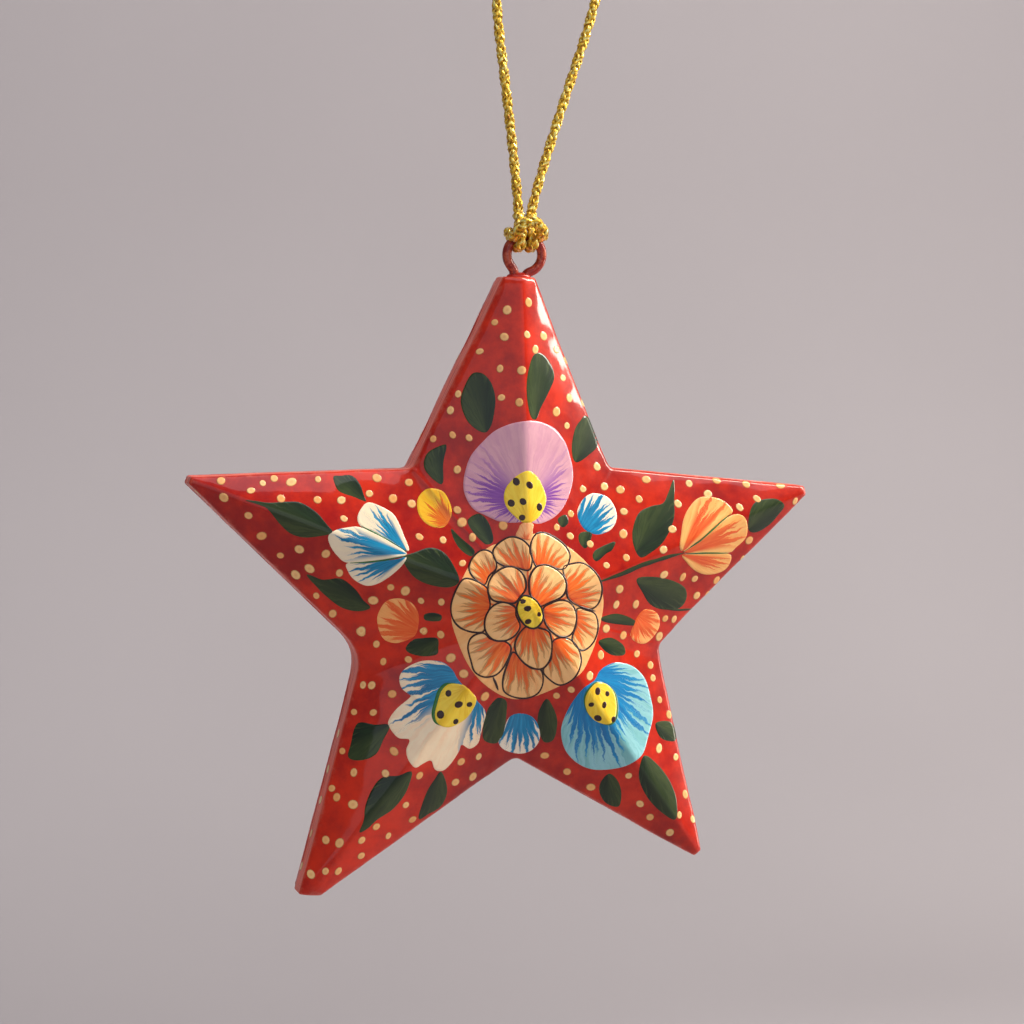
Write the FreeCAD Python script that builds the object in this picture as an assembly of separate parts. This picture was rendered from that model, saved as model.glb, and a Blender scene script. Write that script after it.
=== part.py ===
import FreeCAD, Part
import math
import os

# A tin star ornament: two pressed halves soldered at their lapped edges, a bent wire eye in the
# blunt top arm, and a metallic cord that holds the eye in a lark's head and closes in a knot.
# Millimetres, +Z up, the painted front towards -Y. The origin is where the cord loop is hung.

os.makedirs("parts", exist_ok=True)

# Star outline, seen from the front. Tables run clockwise from the top arm.
arm_length = 52.5
arm_length_shares = (0.96, 0.98, 0.99, 1.05, 1.015)
arm_leans_deg = (1.1, -1.0, -1.0, 0.0, 2.7)
waist_radius = 25.4
waist_radius_shares = (1.02, 0.99, 0.97, 0.985, 1.035)
waist_leans_deg = (1.2, -0.3, -1.2, 0.5, -2.0)
tip_width = 5.0
tip_width_shares = (1.0, 0.3, 0.3, 0.9, 0.3)

# Pressed tin
sheet = 0.4
rim_depth = 7.0            # front rim to back rim
ridge_height = 10.4        # rim to the peak where the five ridges meet, on either side
seam_setback = 2.8         # front skirt ends this far short of the back rim
lap_depth = 3.0            # back skirt inside the front skirt
lap_clearance = 0.05
solder_height = 0.45

# Wire eye
wire_diameter = 1.5
eye_radius = 2.83          # middle of the wire
eye_rise = 3.7             # end of the top arm to the middle of the eye
eye_lean_deg = 14.0        # the eye leans to the right on its legs
eye_offset = 0.5           # legs to the right of the arm's middle
eye_setting = 1.2          # legs in front of the plane between the rims
neck_bend_radius = 1.6
leg_gap = 0.2
leg_depth = 8.0            # wire inside the arm
slot_clearance = 0.05
plug_depth = 5.0

# Cord
cord_diameter = 1.7
bend_share = 0.45          # part of a straight run that the bend at its end takes
loop_drop = 50.4           # hanging point down to the neck, where the strands enter the hitch
neck_offset = -4.7         # the loop leans, so the neck is left of the hanging point
neck_rise = 3.4            # middle of the wire's top up to the neck
swing_clearance = 0.05
swing_deg = 40.0           # how far the eye turns in the hitch, each way
knot_bend = 2              # point of the loop's route where the knot sits, on its left shoulder
knot_wrap_radius = 1.75    # middle of a wrap round the loop
knot_wrap_step = 1.6       # from one wrap to the next
knot_wrap_tilt_deg = 14.0

overrun = 1.0              # cutting shapes pass the faces they cut by this much


def polar(radius, clockwise_deg):
    """Point of the outline at a bearing clockwise from straight up."""
    angle = math.radians(clockwise_deg)
    return (radius * math.sin(angle), radius * math.cos(angle))


def star_outline():
    """Corners of the outer edge: for each arm the two tip corners, then the waist after it."""
    step = 360.0 / len(arm_leans_deg)
    points = []
    for arm, lean in enumerate(arm_leans_deg):
        bearing = arm * step + lean
        length = arm_length * arm_length_shares[arm]
        half_width = 0.5 * tip_width * tip_width_shares[arm]
        across = polar(half_width, bearing + 90.0)
        end = polar(length, bearing)
        points.append((end[0] - across[0], end[1] - across[1]))
        points.append((end[0] + across[0], end[1] + across[1]))
        waist_bearing = (arm + 0.5) * step + waist_leans_deg[arm]
        points.append(polar(waist_radius * waist_radius_shares[arm], waist_bearing))
    return points


def inset(points, distance):
    """The closed clockwise outline moved inwards by a distance."""
    moved = []
    count = len(points)
    for i, corner in enumerate(points):
        before = points[i - 1]
        after = points[(i + 1) % count]
        lines = []
        for start, end in ((before, corner), (corner, after)):
            dx, dz = end[0] - start[0], end[1] - start[1]
            size = math.hypot(dx, dz)
            normal = (dz / size, -dx / size)
            lines.append((normal, normal[0] * start[0] + normal[1] * start[1] + distance))
        (n1, d1), (n2, d2) = lines
        det = n1[0] * n2[1] - n1[1] * n2[0]
        moved.append(((d1 * n2[1] - d2 * n1[1]) / det, (n1[0] * d2 - n2[0] * d1) / det))
    return moved


outline = star_outline()
top_length = arm_length * arm_length_shares[0]
top_end = polar(top_length, arm_leans_deg[0])

# Stack from the hanging point down
neck = FreeCAD.Vector(neck_offset, 0, -loop_drop)
eye_top = neck - FreeCAD.Vector(0, 0, neck_rise)
eye_middle = eye_top - FreeCAD.Vector(0, 0, eye_radius)
eye_lean = math.radians(eye_lean_deg)
legs_enter = eye_middle - FreeCAD.Vector(math.sin(eye_lean), 0, math.cos(eye_lean)) * eye_rise
arm_end = legs_enter + FreeCAD.Vector(-eye_offset, eye_setting, 0)
star_middle = arm_end - FreeCAD.Vector(top_end[0], 0, top_end[1])

front_rim = -0.5 * rim_depth
back_rim = 0.5 * rim_depth
seam = back_rim - seam_setback

# The facets slope alike at about this angle, which sets how thick the sheet is along Y
edge_distance = abs(outline[1][0] * outline[2][1] - outline[1][1] * outline[2][0]) / math.dist(
    outline[1], outline[2])
facet_slope = math.atan2(ridge_height, edge_distance)
sheet_along_y = sheet / math.cos(facet_slope)
sheet_rise = sheet * math.tan(facet_slope)     # of the outer facet, where the inner wall stands


def at(point, y):
    return star_middle + FreeCAD.Vector(point[0], y, point[1])


def face_of(points):
    return Part.Face(Part.makePolygon(points + [points[0]]))


def facet_height(edge_start, edge_end, point, rim, peak):
    """Y of a facet's plane at a point: rim along the edge, peak at the middle of the star."""
    dx, dz = edge_end[0] - edge_start[0], edge_end[1] - edge_start[1]
    from_edge = (point[0] - edge_start[0]) * dz - (point[1] - edge_start[1]) * dx
    middle_from_edge = -edge_start[0] * dz + edge_start[1] * dx
    return rim + (peak - rim) * from_edge / middle_from_edge


def pressed_form(corners, rim, peak, base):
    """Solid under ten flat facets that rise from the rim to the peak, with straight walls to base."""
    faces = []
    count = len(corners)
    summit = at((0, 0), peak)
    for arm in range(count // 3):
        left, right = corners[3 * arm], corners[3 * arm + 1]
        waist_before, waist_after = corners[3 * arm - 1], corners[3 * arm + 2]
        left_at_right = facet_height(waist_before, left, right, rim, peak) - rim
        right_at_left = facet_height(right, waist_after, left, rim, peak) - rim
        share = right_at_left / (right_at_left + left_at_right)
        crease = (left[0] + share * (right[0] - left[0]), left[1] + share * (right[1] - left[1]))
        crease_end = at(crease, rim + share * left_at_right)
        faces.append(face_of([summit, at(waist_before, rim), at(left, rim), crease_end]))
        faces.append(face_of([summit, crease_end, at(right, rim), at(waist_after, rim)]))
        faces.append(face_of([at(left, base), at(left, rim), crease_end, at(right, rim),
                              at(right, base)]))
        faces.append(face_of([at(right, base), at(right, rim), at(waist_after, rim),
                              at(waist_after, base)]))
        faces.append(face_of([at(waist_before, base), at(waist_before, rim), at(left, rim),
                              at(left, base)]))
    faces.append(face_of([at(corner, base) for corner in corners]))
    solid = Part.makeSolid(Part.makeShell(faces))
    if solid.Volume < 0:
        solid.reverse()
    return solid


def prism(corners, start, end):
    face = face_of([at(corner, start) for corner in corners])
    return face.extrude(FreeCAD.Vector(0, end - start, 0))


def inner_form(corners, side):
    """Hollow of a half: its facets lie one sheet under the outer ones, and it runs out the far side."""
    rim = side * (0.5 * rim_depth + sheet_rise - sheet_along_y)
    peak = side * (0.5 * rim_depth + ridge_height - sheet_along_y)
    base = -side * (0.5 * rim_depth + ridge_height + overrun)
    return pressed_form(inset(corners, sheet), rim, peak, base)


back_outline = inset(outline, sheet + lap_clearance)
front_hollow = inner_form(outline, -1.0)
back_hollow = inner_form(back_outline, 1.0)


# Wire eye
def wire_path():
    """Open loop in the star's plane: up one leg, round, and down the other."""
    leg_x = 0.5 * (wire_diameter + leg_gap)
    reach = eye_radius + neck_bend_radius
    bend_x = leg_x + neck_bend_radius
    bend_drop = math.sqrt(reach ** 2 - bend_x ** 2)
    bend_turn = math.atan2(bend_drop, bend_x)

    def spot(side, x, z):
        across, up = side * x, z
        return eye_middle + FreeCAD.Vector(across * math.cos(eye_lean) + up * math.sin(eye_lean), 0,
                                           up * math.cos(eye_lean) - across * math.sin(eye_lean))

    def bend_point(side, angle):
        return spot(side, bend_x - neck_bend_radius * math.cos(angle),
                    -bend_drop + neck_bend_radius * math.sin(angle))

    meeting = eye_radius / reach
    leg_bottom = -eye_rise - leg_depth
    edges = []
    for side in (-1.0, 1.0):
        joint = spot(side, meeting * bend_x, -meeting * bend_drop)
        leg = [spot(side, leg_x, leg_bottom), spot(side, leg_x, -bend_drop)]
        bend = Part.Arc(leg[1], bend_point(side, 0.5 * bend_turn), joint)
        edges.append([Part.LineSegment(*leg).toShape(), bend.toShape(), joint])
    crown = Part.Arc(edges[0][2], spot(1.0, 0, eye_radius), edges[1][2]).toShape()
    return Part.Wire([edges[0][0], edges[0][1], crown, edges[1][1], edges[1][0]])


def tube(path, diameter):
    start = path.OrderedEdges[0]
    tangent = start.tangentAt(start.FirstParameter)
    ring = Part.Wire(Part.makeCircle(0.5 * diameter, start.valueAt(start.FirstParameter), tangent))
    return path.makePipeShell([ring], True, False)


# Cord routes are chosen by hand. Loop: from the neck, left strand up, over, right strand down.
loop_route = [(-5.7, 0, -50.4), (-5.95, 0, -45.0), (-11.4, 0, -4.1), (0.3, 0, 2.7),
              (10.95, 0, -5.3), (-2.75, 0, -45.3), (-3.7, 0, -50.4)]

# Hitch: left half, from the neck down in front of the wire, under it, up behind, over the top
# and across the front, seen from the middle of the wire's top. The right half mirrors it, and
# the arch across the front is pulled a little to the left.
hitch_half_route = [(-1.0, -1.1, 1.6), (-0.97, -1.75, -0.3), (-0.97, -1.1, -2.2), (-1.0, 1.0, -2.3),
                    (-1.35, 1.95, -0.7), (-2.4, 1.5, 1.1), (-2.9, -0.4, 1.3)]
arch_route = [(-3.2, -2.3, 0.6), (-1.7, -3.9, 1.5), (0.9, -4.0, 1.7), (2.75, -2.4, 0.6)]

# Two tails of the knot, from its middle, in the same directions as the part's axes
tail_routes = [[(-0.9, -1.0, 0.9), (-2.6, -1.9, 2.0), (-3.4, -1.5, 5.6)],
               [(-1.0, 0.9, -0.2), (-3.2, 1.8, -0.1), (-5.9, 1.5, -2.6)]]


def rounded_path(points, label):
    """Straight runs joined by tangent arcs, each as large as its two runs allow."""
    places = [FreeCAD.Vector(*point) for point in points]
    edges = []
    radii = []
    here = places[0]
    for i in range(1, len(places) - 1):
        before = places[i - 1] - places[i]
        after = places[i + 1] - places[i]
        trim = bend_share * min(before.Length, after.Length)
        turn = math.pi - before.getAngle(after)
        radius = trim / math.tan(0.5 * turn)
        radii.append(round(radius, 2))
        before.normalize()
        after.normalize()
        enter = places[i] + before * trim
        leave = places[i] + after * trim
        inward = (before + after).normalize()
        deepest = places[i] + inward * (radius / math.cos(0.5 * turn) - radius)
        edges.append(Part.LineSegment(here, enter).toShape())
        edges.append(Part.Arc(enter, deepest, leave).toShape())
        here = leave
    edges.append(Part.LineSegment(here, places[-1]).toShape())
    path = Part.Wire(edges)
    print(label, "length", round(path.Length, 1), "radii", radii)
    return path


def stretched(points, distance):
    """The route with its two ends carried on in line."""
    places = [FreeCAD.Vector(*point) for point in points]
    ends = []
    for end, neighbour in ((places[0], places[1]), (places[-1], places[-2])):
        ends.append(end + (end - neighbour).normalize() * distance)
    return [ends[0]] + places[1:-1] + [ends[1]]


def beyond_neck(side):
    """Block above (1) or below (-1) the level where loop and hitch meet face to face."""
    size = 0.5 * loop_drop
    floor = neck.z if side > 0 else neck.z - size
    return Part.makeBox(2 * size, 2 * size, size, FreeCAD.Vector(neck.x - size, -size, floor))


def report_volume(label, solid, path, diameter):
    ideal = 0.25 * math.pi * diameter ** 2 * path.Length
    print(label, "volume over section times length", round(solid.Volume / ideal, 4), solid.isValid())


def swept_eye():
    """Space that the top of the eye needs while it turns about its own top wire."""
    outer = eye_radius + 0.5 * wire_diameter + swing_clearance
    inner = eye_radius - 0.5 * wire_diameter - swing_clearance
    side = FreeCAD.Vector(0, 1, 0)
    disc = Part.Face(Part.Wire(Part.makeCircle(outer, eye_middle, side)))
    hole = Part.Face(Part.Wire(Part.makeCircle(inner, eye_middle, side)))
    ring = disc.cut(hole)
    span = 2 * outer
    upper = Part.makeBox(span, span, outer, eye_top - FreeCAD.Vector(outer, outer, 0))
    lower = Part.makeBox(span, span, span, eye_top - FreeCAD.Vector(outer, outer, span))
    axis = FreeCAD.Vector(1, 0, 0)
    pieces = []
    for half in (upper, lower):
        section = ring.common(half)
        section.rotate(eye_top, axis, -swing_deg)
        pieces.append(section.revolve(eye_top, axis, 2 * swing_deg))
    for turn in (-swing_deg, 0.0, swing_deg):
        torus = Part.makeTorus(eye_radius, 0.5 * wire_diameter + swing_clearance, eye_middle, side)
        torus.rotate(eye_top, axis, turn)
        pieces.append(torus)
    return pieces


def save(node, shape):
    shape.exportStep("parts/" + node + ".step")
    print(node, "solids", len(shape.Solids), "valid", shape.isValid(), "volume", round(shape.Volume, 2))


front_shell = pressed_form(outline, front_rim, front_rim - ridge_height, seam).cut(front_hollow)
back_skirt_end = seam - lap_depth
back_shell = pressed_form(back_outline, back_rim, back_rim + ridge_height, back_skirt_end).cut(back_hollow)
eye_path = wire_path()
leg_holes = tube(eye_path, wire_diameter + 2 * slot_clearance)
front_shell = front_shell.cut(leg_holes)
back_shell = back_shell.cut(leg_holes)
save("front_shell", front_shell)
save("back_shell", back_shell)

bead_start = face_of([at(corner, seam) for corner in outline]).OuterWire
bead_end = face_of([at(corner, seam + solder_height) for corner in back_outline]).OuterWire
bead = Part.makeLoft([bead_start, bead_end], True, True)
seam_solder = bead.cut(prism(back_outline, seam - overrun, seam + solder_height + overrun))
save("seam_solder", seam_solder)

hanger_eye = tube(eye_path, wire_diameter)
save("hanger_eye", hanger_eye)
report_volume("hanger_eye", hanger_eye, eye_path, wire_diameter)

plug_floor = arm_end - FreeCAD.Vector(0.5 * arm_length, 0.5 * arm_length, sheet + plug_depth)
plug_space = Part.makeBox(arm_length, arm_length, sheet + plug_depth, plug_floor)
eye_solder = front_hollow.common(back_hollow).common(plug_space).cut(hanger_eye)
save("eye_solder", eye_solder)

loop_path = rounded_path(stretched(loop_route, cord_diameter), "hanging_loop")
hanging_loop = tube(loop_path, cord_diameter)
report_volume("hanging_loop", hanging_loop, loop_path, cord_diameter)
hanging_loop = hanging_loop.cut(beyond_neck(-1.0))
save("hanging_loop", hanging_loop)

left_half = [(eye_top.x + x, y, eye_top.z + z) for x, y, z in hitch_half_route]
right_half = [(eye_top.x - x, y, eye_top.z + z) for x, y, z in hitch_half_route]
arch = [(eye_top.x + x, y, eye_top.z + z) for x, y, z in arch_route]
hitch_route = [loop_route[0]] + left_half + arch + right_half[::-1] + [loop_route[-1]]
hitch_path = rounded_path(stretched(hitch_route, cord_diameter), "cord_hitch")
cord_hitch = tube(hitch_path, cord_diameter)
report_volume("cord_hitch", cord_hitch, hitch_path, cord_diameter)
cord_hitch = cord_hitch.cut(beyond_neck(1.0))
for piece in swept_eye():
    cord_hitch = cord_hitch.cut(piece)
save("cord_hitch", cord_hitch)

# A path has a straight run before each bend, so the bend at point n is edge 2n - 1
shoulder = loop_path.OrderedEdges[2 * knot_bend - 1]
shoulder_middle = 0.5 * (shoulder.FirstParameter + shoulder.LastParameter)
knot_middle = shoulder.valueAt(shoulder_middle)
knot_axis = shoulder.tangentAt(shoulder_middle)
wraps = []
for side in (-1.0, 1.0):
    middle = knot_middle + knot_axis * (0.5 * side * knot_wrap_step)
    wrap = Part.makeTorus(knot_wrap_radius, 0.5 * cord_diameter, middle, knot_axis)
    wrap.rotate(middle, FreeCAD.Vector(0, 1, 0), side * knot_wrap_tilt_deg)
    wraps.append(wrap)
tails = []
for route in tail_routes:
    places = [knot_middle + FreeCAD.Vector(*point) for point in route]
    tail_path = rounded_path(places, "knot tail")
    tails.append(tube(tail_path, cord_diameter))
loop_knot = wraps[0].fuse(wraps[1:] + tails).cut(hanging_loop)
save("loop_knot", loop_knot)
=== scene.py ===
import math
import random

import bpy
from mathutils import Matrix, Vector, noise
from mathutils.bvhtree import BVHTree


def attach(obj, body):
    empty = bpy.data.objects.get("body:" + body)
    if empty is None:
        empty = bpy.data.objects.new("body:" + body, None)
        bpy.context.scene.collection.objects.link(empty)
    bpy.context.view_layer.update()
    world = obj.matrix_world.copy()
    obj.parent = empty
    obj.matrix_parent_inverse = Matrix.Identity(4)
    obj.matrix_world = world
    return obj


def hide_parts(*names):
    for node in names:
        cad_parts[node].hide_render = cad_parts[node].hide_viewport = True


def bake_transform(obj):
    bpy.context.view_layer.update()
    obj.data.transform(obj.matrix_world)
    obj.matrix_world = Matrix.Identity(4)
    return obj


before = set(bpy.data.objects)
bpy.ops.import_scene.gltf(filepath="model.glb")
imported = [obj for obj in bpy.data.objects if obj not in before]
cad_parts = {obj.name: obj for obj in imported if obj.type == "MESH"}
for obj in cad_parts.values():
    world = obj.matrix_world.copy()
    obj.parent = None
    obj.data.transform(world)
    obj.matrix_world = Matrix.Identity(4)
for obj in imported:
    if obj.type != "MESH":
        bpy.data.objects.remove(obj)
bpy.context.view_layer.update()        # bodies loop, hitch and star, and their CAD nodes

mm = 0.001
random.seed(11)


# Everything is in metres, in the frame of the CAD: the origin is where the loop is hung.
def pick(*pieces):
    # the first piece is the active one
    if bpy.context.object and bpy.context.object.mode != "OBJECT":
        bpy.ops.object.mode_set(mode="OBJECT")
    bpy.ops.object.select_all(action="DESELECT")
    for piece in pieces:
        piece.select_set(True)
    bpy.context.view_layer.objects.active = pieces[0]
    return pieces[0]


def applyModifiers(obj):
    pick(obj)
    for modifier in list(obj.modifiers):
        bpy.ops.object.modifier_apply(modifier=modifier.name)


def displaced(obj, name, size, depth):
    # an uneven push in and out along the surface
    texture = bpy.data.textures.new(name, "CLOUDS")
    texture.noise_scale = size
    texture.noise_depth = 1
    modifier = obj.modifiers.new(name, "DISPLACE")
    modifier.texture = texture
    modifier.texture_coords = "LOCAL"
    modifier.strength = depth


def linked(name, data):
    obj = bpy.data.objects.new(name, data)
    bpy.context.scene.collection.objects.link(obj)
    return obj


def smoothShaded(mesh):
    for polygon in mesh.polygons:
        polygon.use_smooth = True


def meshObject(name, points, faces):
    mesh = bpy.data.meshes.new(name)
    mesh.from_pydata([tuple(p) for p in points], [], faces)
    mesh.update()
    smoothShaded(mesh)
    return linked(name, mesh)


def addAttribute(obj, name, values):
    # a number or a triple for every point
    isTriple = isinstance(values[0], tuple)
    attribute = obj.data.attributes.new(name, "FLOAT_VECTOR" if isTriple else "FLOAT", "POINT")
    if isTriple:
        attribute.data.foreach_set("vector", [number for triple in values for number in triple])
    else:
        attribute.data.foreach_set("value", values)


def srgb(red, green, blue):
    shares = []
    for value in (red, green, blue):
        value = value / 255.0
        shares.append(value / 12.92 if value <= 0.04045 else ((value + 0.055) / 1.055) ** 2.4)
    return (*shares, 1.0)


# Camera: the photograph's view, a long lens from the front left, a little above the star
photoView = {
    "place": (-0.11666, -0.39236, -0.07119),
    "turnDeg": (86.390, -0.2595, -15.6636),
    "lens": 91.4,
    "sensor": 36.0,
    "imageSize": 1024,
}
bpy.ops.object.camera_add(location=photoView["place"],
                          rotation=[math.radians(turn) for turn in photoView["turnDeg"]])
camera = bpy.context.object
camera.name = "photoCamera"
camera.data.lens = photoView["lens"]
camera.data.sensor_width = photoView["sensor"]
camera.data.clip_start = 0.01
bpy.context.scene.camera = camera
bpy.context.view_layer.update()
print("camera set")


# Cord: the loop's and the hitch's routes are the CAD's own points, in metres
loopCord = {
    "route": [(-0.0057, 0, -0.0504), (-0.00595, 0, -0.0450), (-0.0114, 0, -0.0041),
              (0.0003, 0, 0.0027), (0.01095, 0, -0.0053), (-0.00275, 0, -0.0453),
              (-0.0037, 0, -0.0504)],
    "diameter": 0.0017,
    "length": 0.113,
    "neck": -0.0504,
    "twistLength": 0.020,      # the strands take up a twist over this much above the neck
}
hitchCord = {
    "eyeTop": (-0.0047, 0, -0.0538),
    "halfRoute": [(-0.0010, 0, 0.0034), (-0.0010, -0.0011, 0.0016), (-0.00097, -0.00175, -0.0003),
                  (-0.00097, -0.0011, -0.0016), (-0.0010, 0.0010, -0.0017), (-0.00135, 0.00195, -0.0005),
                  (-0.0020, 0.0016, 0.0006), (-0.0024, 0.0000, 0.0006)],
    "archRoute": [(-0.0023, -0.0023, -0.0003), (-0.0018, -0.0037, 0.0014), (0.0, -0.0041, 0.0024),
                  (0.0018, -0.0037, 0.0014), (0.0023, -0.0023, -0.0003)],
    "fullness": 1.2,          # the yarn swells where it is pulled round the wire
}
loopKnot = {
    "bend": (-0.0114, 0, -0.0041),
    "turns": 2.0,
    "pointsPerTurn": 8,
    "wrapRadius": 0.00195,
    "rise": 0.00256,           # over the whole wrap
    "lean": 0.00045,
    "tails": [[(-0.0009, -0.0010, 0.0009), (-0.0026, -0.0019, 0.0020), (-0.0034, -0.0015, 0.0056)],
              [(-0.0010, 0.0009, -0.0002), (-0.0032, 0.0018, -0.0001), (-0.0059, 0.0015, -0.0026)]],
    "threads": 16,
    "threadLength": 0.0016,
    "threadRadius": 0.00006,
    "threadSides": 4,
    "threadStep": 0.0003,
    # ranges: its turn round the tail, its share of the length, its start's share of the yarn's
    # radius and how far it spreads
    "threadTurn": (-0.2, 0.2),
    "threadReach": (0.6, 1.0),
    "threadStart": (0.2, 0.9),
    "threadSpread": (0.25, 0.75),
}
braid = {
    "yarnsEachWay": 4,
    "radius": 0.00053,         # middle of the yarn layer
    "weave": 0.00012,          # how far a yarn rises and dips over the others
    "halfWidth": 0.00034,
    "halfThickness": 0.00020,
    "pitch": 0.0068,
    "step": 0.00022,
    "sides": 6,
    "coreRadius": 0.00036,
}


def routeLine(name, route):
    # points of the smooth line through a given route
    curve = bpy.data.curves.new(name, "CURVE")
    curve.dimensions = "3D"
    curve.resolution_u = 24
    spline = curve.splines.new("NURBS")
    spline.points.add(len(route) - 1)
    for point, place in zip(spline.points, route):
        point.co = (*place, 1.0)
    spline.order_u = 3
    spline.use_endpoint_u = True
    guide = linked(name, curve)
    bpy.context.view_layer.update()
    mesh = bpy.data.meshes.new_from_object(guide)
    line = [vertex.co.copy() for vertex in mesh.vertices]
    bpy.data.objects.remove(guide)
    bpy.data.meshes.remove(mesh)
    return line


def evenly(line, step):
    # the same line with its points a step apart
    lengths = [0.0]
    for before, after in zip(line, line[1:]):
        lengths.append(lengths[-1] + (after - before).length)
    count = max(2, round(lengths[-1] / step))
    even = []
    span = 0
    for i in range(count + 1):
        along = lengths[-1] * i / count
        while span < len(line) - 2 and lengths[span + 1] < along:
            span += 1
        size = lengths[span + 1] - lengths[span] or 1.0
        even.append(line[span].lerp(line[span + 1], (along - lengths[span]) / size))
    return even


def lengthOf(line):
    return sum((after - before).length for before, after in zip(line, line[1:]))


def framesAlong(line):
    # (point, side, up, forward) down a line, turning no more than the line does
    frames = []
    side = None
    for i, point in enumerate(line):
        forward = (line[min(i + 1, len(line) - 1)] - line[max(i - 1, 0)]).normalized()
        if side is None:
            side = forward.orthogonal().normalized()
        side = (side - forward * side.dot(forward)).normalized()
        frames.append((point, side, forward.cross(side), forward))
    return frames


def ringAt(middle, size, side, up, count):
    turns = [math.tau * k / count for k in range(count)]
    return [middle + size * (side * math.cos(turn) + up * math.sin(turn)) for turn in turns]


def addTube(points, faces, rings, isRound=False):
    # adds the points and faces of a tube through rings of equal size, closed on itself or at its ends
    first, sides = len(points), len(rings[0])
    points += [point for ring in rings for point in ring]
    total = len(points) - first
    for start in range(0, total if isRound else total - sides, sides):
        for k in range(sides):
            a, b = start + k, start + (k + 1) % sides
            faces.append(tuple(first + corner % total for corner in (a, b, b + sides, a + sides)))
    if not isRound:
        faces.append(tuple(range(first, first + sides))[::-1])
        faces.append(tuple(range(len(points) - sides, len(points))))


def braidedCord(name, line, fullness=1.0):
    # eight flat yarns, four each way, woven over and under round a core
    frames = framesAlong(evenly(line, braid["step"]))
    points, faces, yarnPlace = [], [], []
    yarns, sides = braid["yarnsEachWay"], braid["sides"]
    for way in (1, -1):
        for yarn in range(yarns):
            rings = []
            for i, (middle, side, up, forward) in enumerate(frames):
                turned = math.tau * i * braid["step"] / braid["pitch"]
                angle = way * turned + math.tau * yarn / yarns
                rise = way * (-1) ** yarn * math.cos(yarns * turned)
                out = side * math.cos(angle) + up * math.sin(angle)
                across = (up * math.cos(angle) - side * math.sin(angle))
                lean = way * math.tau * braid["radius"] / braid["pitch"]
                across = (across - forward * lean).normalized()
                centre = middle + out * fullness * (braid["radius"] + braid["weave"] * rise)
                rings.append(ringAt(centre, fullness, across * braid["halfWidth"],
                                    out * braid["halfThickness"], sides))
                yarnPlace += [(i * braid["step"], k / sides, way * (yarn + 1)) for k in range(sides)]
            addTube(points, faces, rings)
    core = [ringAt(middle, fullness * braid["coreRadius"], side, up, sides) for middle, side, up, _ in frames]
    addTube(points, faces, core)
    obj = meshObject(name, points, faces)
    addAttribute(obj, "yarnPlace", yarnPlace + [(0.0, 0.0, 0.0)] * (len(points) - len(yarnPlace)))
    return obj


loopLine = routeLine("loopRoute", loopCord["route"])
hangingLoop = braidedCord("hangingLoopCord", loopLine)
print("loop cord", round(lengthOf(loopLine) / mm, 1), "mm", len(hangingLoop.data.polygons), "faces")

eyeTop = Vector(hitchCord["eyeTop"])
leftHalf, rightHalf = [[eyeTop + Vector((x * way, y, z)) for x, y, z in hitchCord["halfRoute"]]
                       for way in (1, -1)]
arch = [eyeTop + Vector(place) for place in hitchCord["archRoute"]]
hitchLine = routeLine("hitchRoute", leftHalf + arch + rightHalf[::-1])
hitch = braidedCord("larksHeadHitch", hitchLine, hitchCord["fullness"])
print("hitch", round(lengthOf(hitchLine) / mm, 1), "mm of cord")


# The two ends of the cord, tied round the loop's left shoulder with their threads let loose
knotMiddle, knotSide, knotUp, knotAxis = min(
    framesAlong(evenly(loopLine, braid["step"])),
    key=lambda there: (there[0] - Vector(loopKnot["bend"])).length)
wrap = []
for i in range(round(loopKnot["turns"] * loopKnot["pointsPerTurn"]) + 1):
    turned = i / loopKnot["pointsPerTurn"]
    angle = math.tau * turned + math.pi
    rise = (turned / loopKnot["turns"] - 0.5) * loopKnot["rise"]
    wrap.append(knotMiddle + loopKnot["wrapRadius"] * (knotSide * math.cos(angle) + knotUp * math.sin(angle))
                + knotAxis * (rise + loopKnot["lean"] * math.cos(angle)))
tailA, tailB = [[knotMiddle + Vector(place) for place in tail] for tail in loopKnot["tails"]]
knot = braidedCord("loopKnotCord", routeLine("knotRoute", tailA[::-1] + wrap + tailB))
threads = []
for *others, before, tip in (tailA, tailB):
    forward = (tip - before).normalized()
    side = forward.orthogonal().normalized()
    up = forward.cross(side)
    for i in range(loopKnot["threads"]):
        angle = math.tau * i / loopKnot["threads"] + random.uniform(*loopKnot["threadTurn"])
        out = side * math.cos(angle) + up * math.sin(angle)
        reach = loopKnot["threadLength"] * random.uniform(*loopKnot["threadReach"])
        start = tip - forward * braid["radius"]
        start += out * random.uniform(*loopKnot["threadStart"]) * braid["radius"]
        spread = random.uniform(*loopKnot["threadSpread"])
        line = routeLine("thread", [start, start + forward * reach * 0.5 + out * reach * 0.1 * spread,
                                    start + forward * reach + out * reach * spread])
        points, faces = [], []
        addTube(points, faces, [ringAt(point, loopKnot["threadRadius"], *across, loopKnot["threadSides"])
                                for point, *across, _ in framesAlong(evenly(line, loopKnot["threadStep"]))])
        threads.append(meshObject("thread", points, faces))
pick(knot, *threads)
bpy.ops.object.join()
print("knot made")


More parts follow.
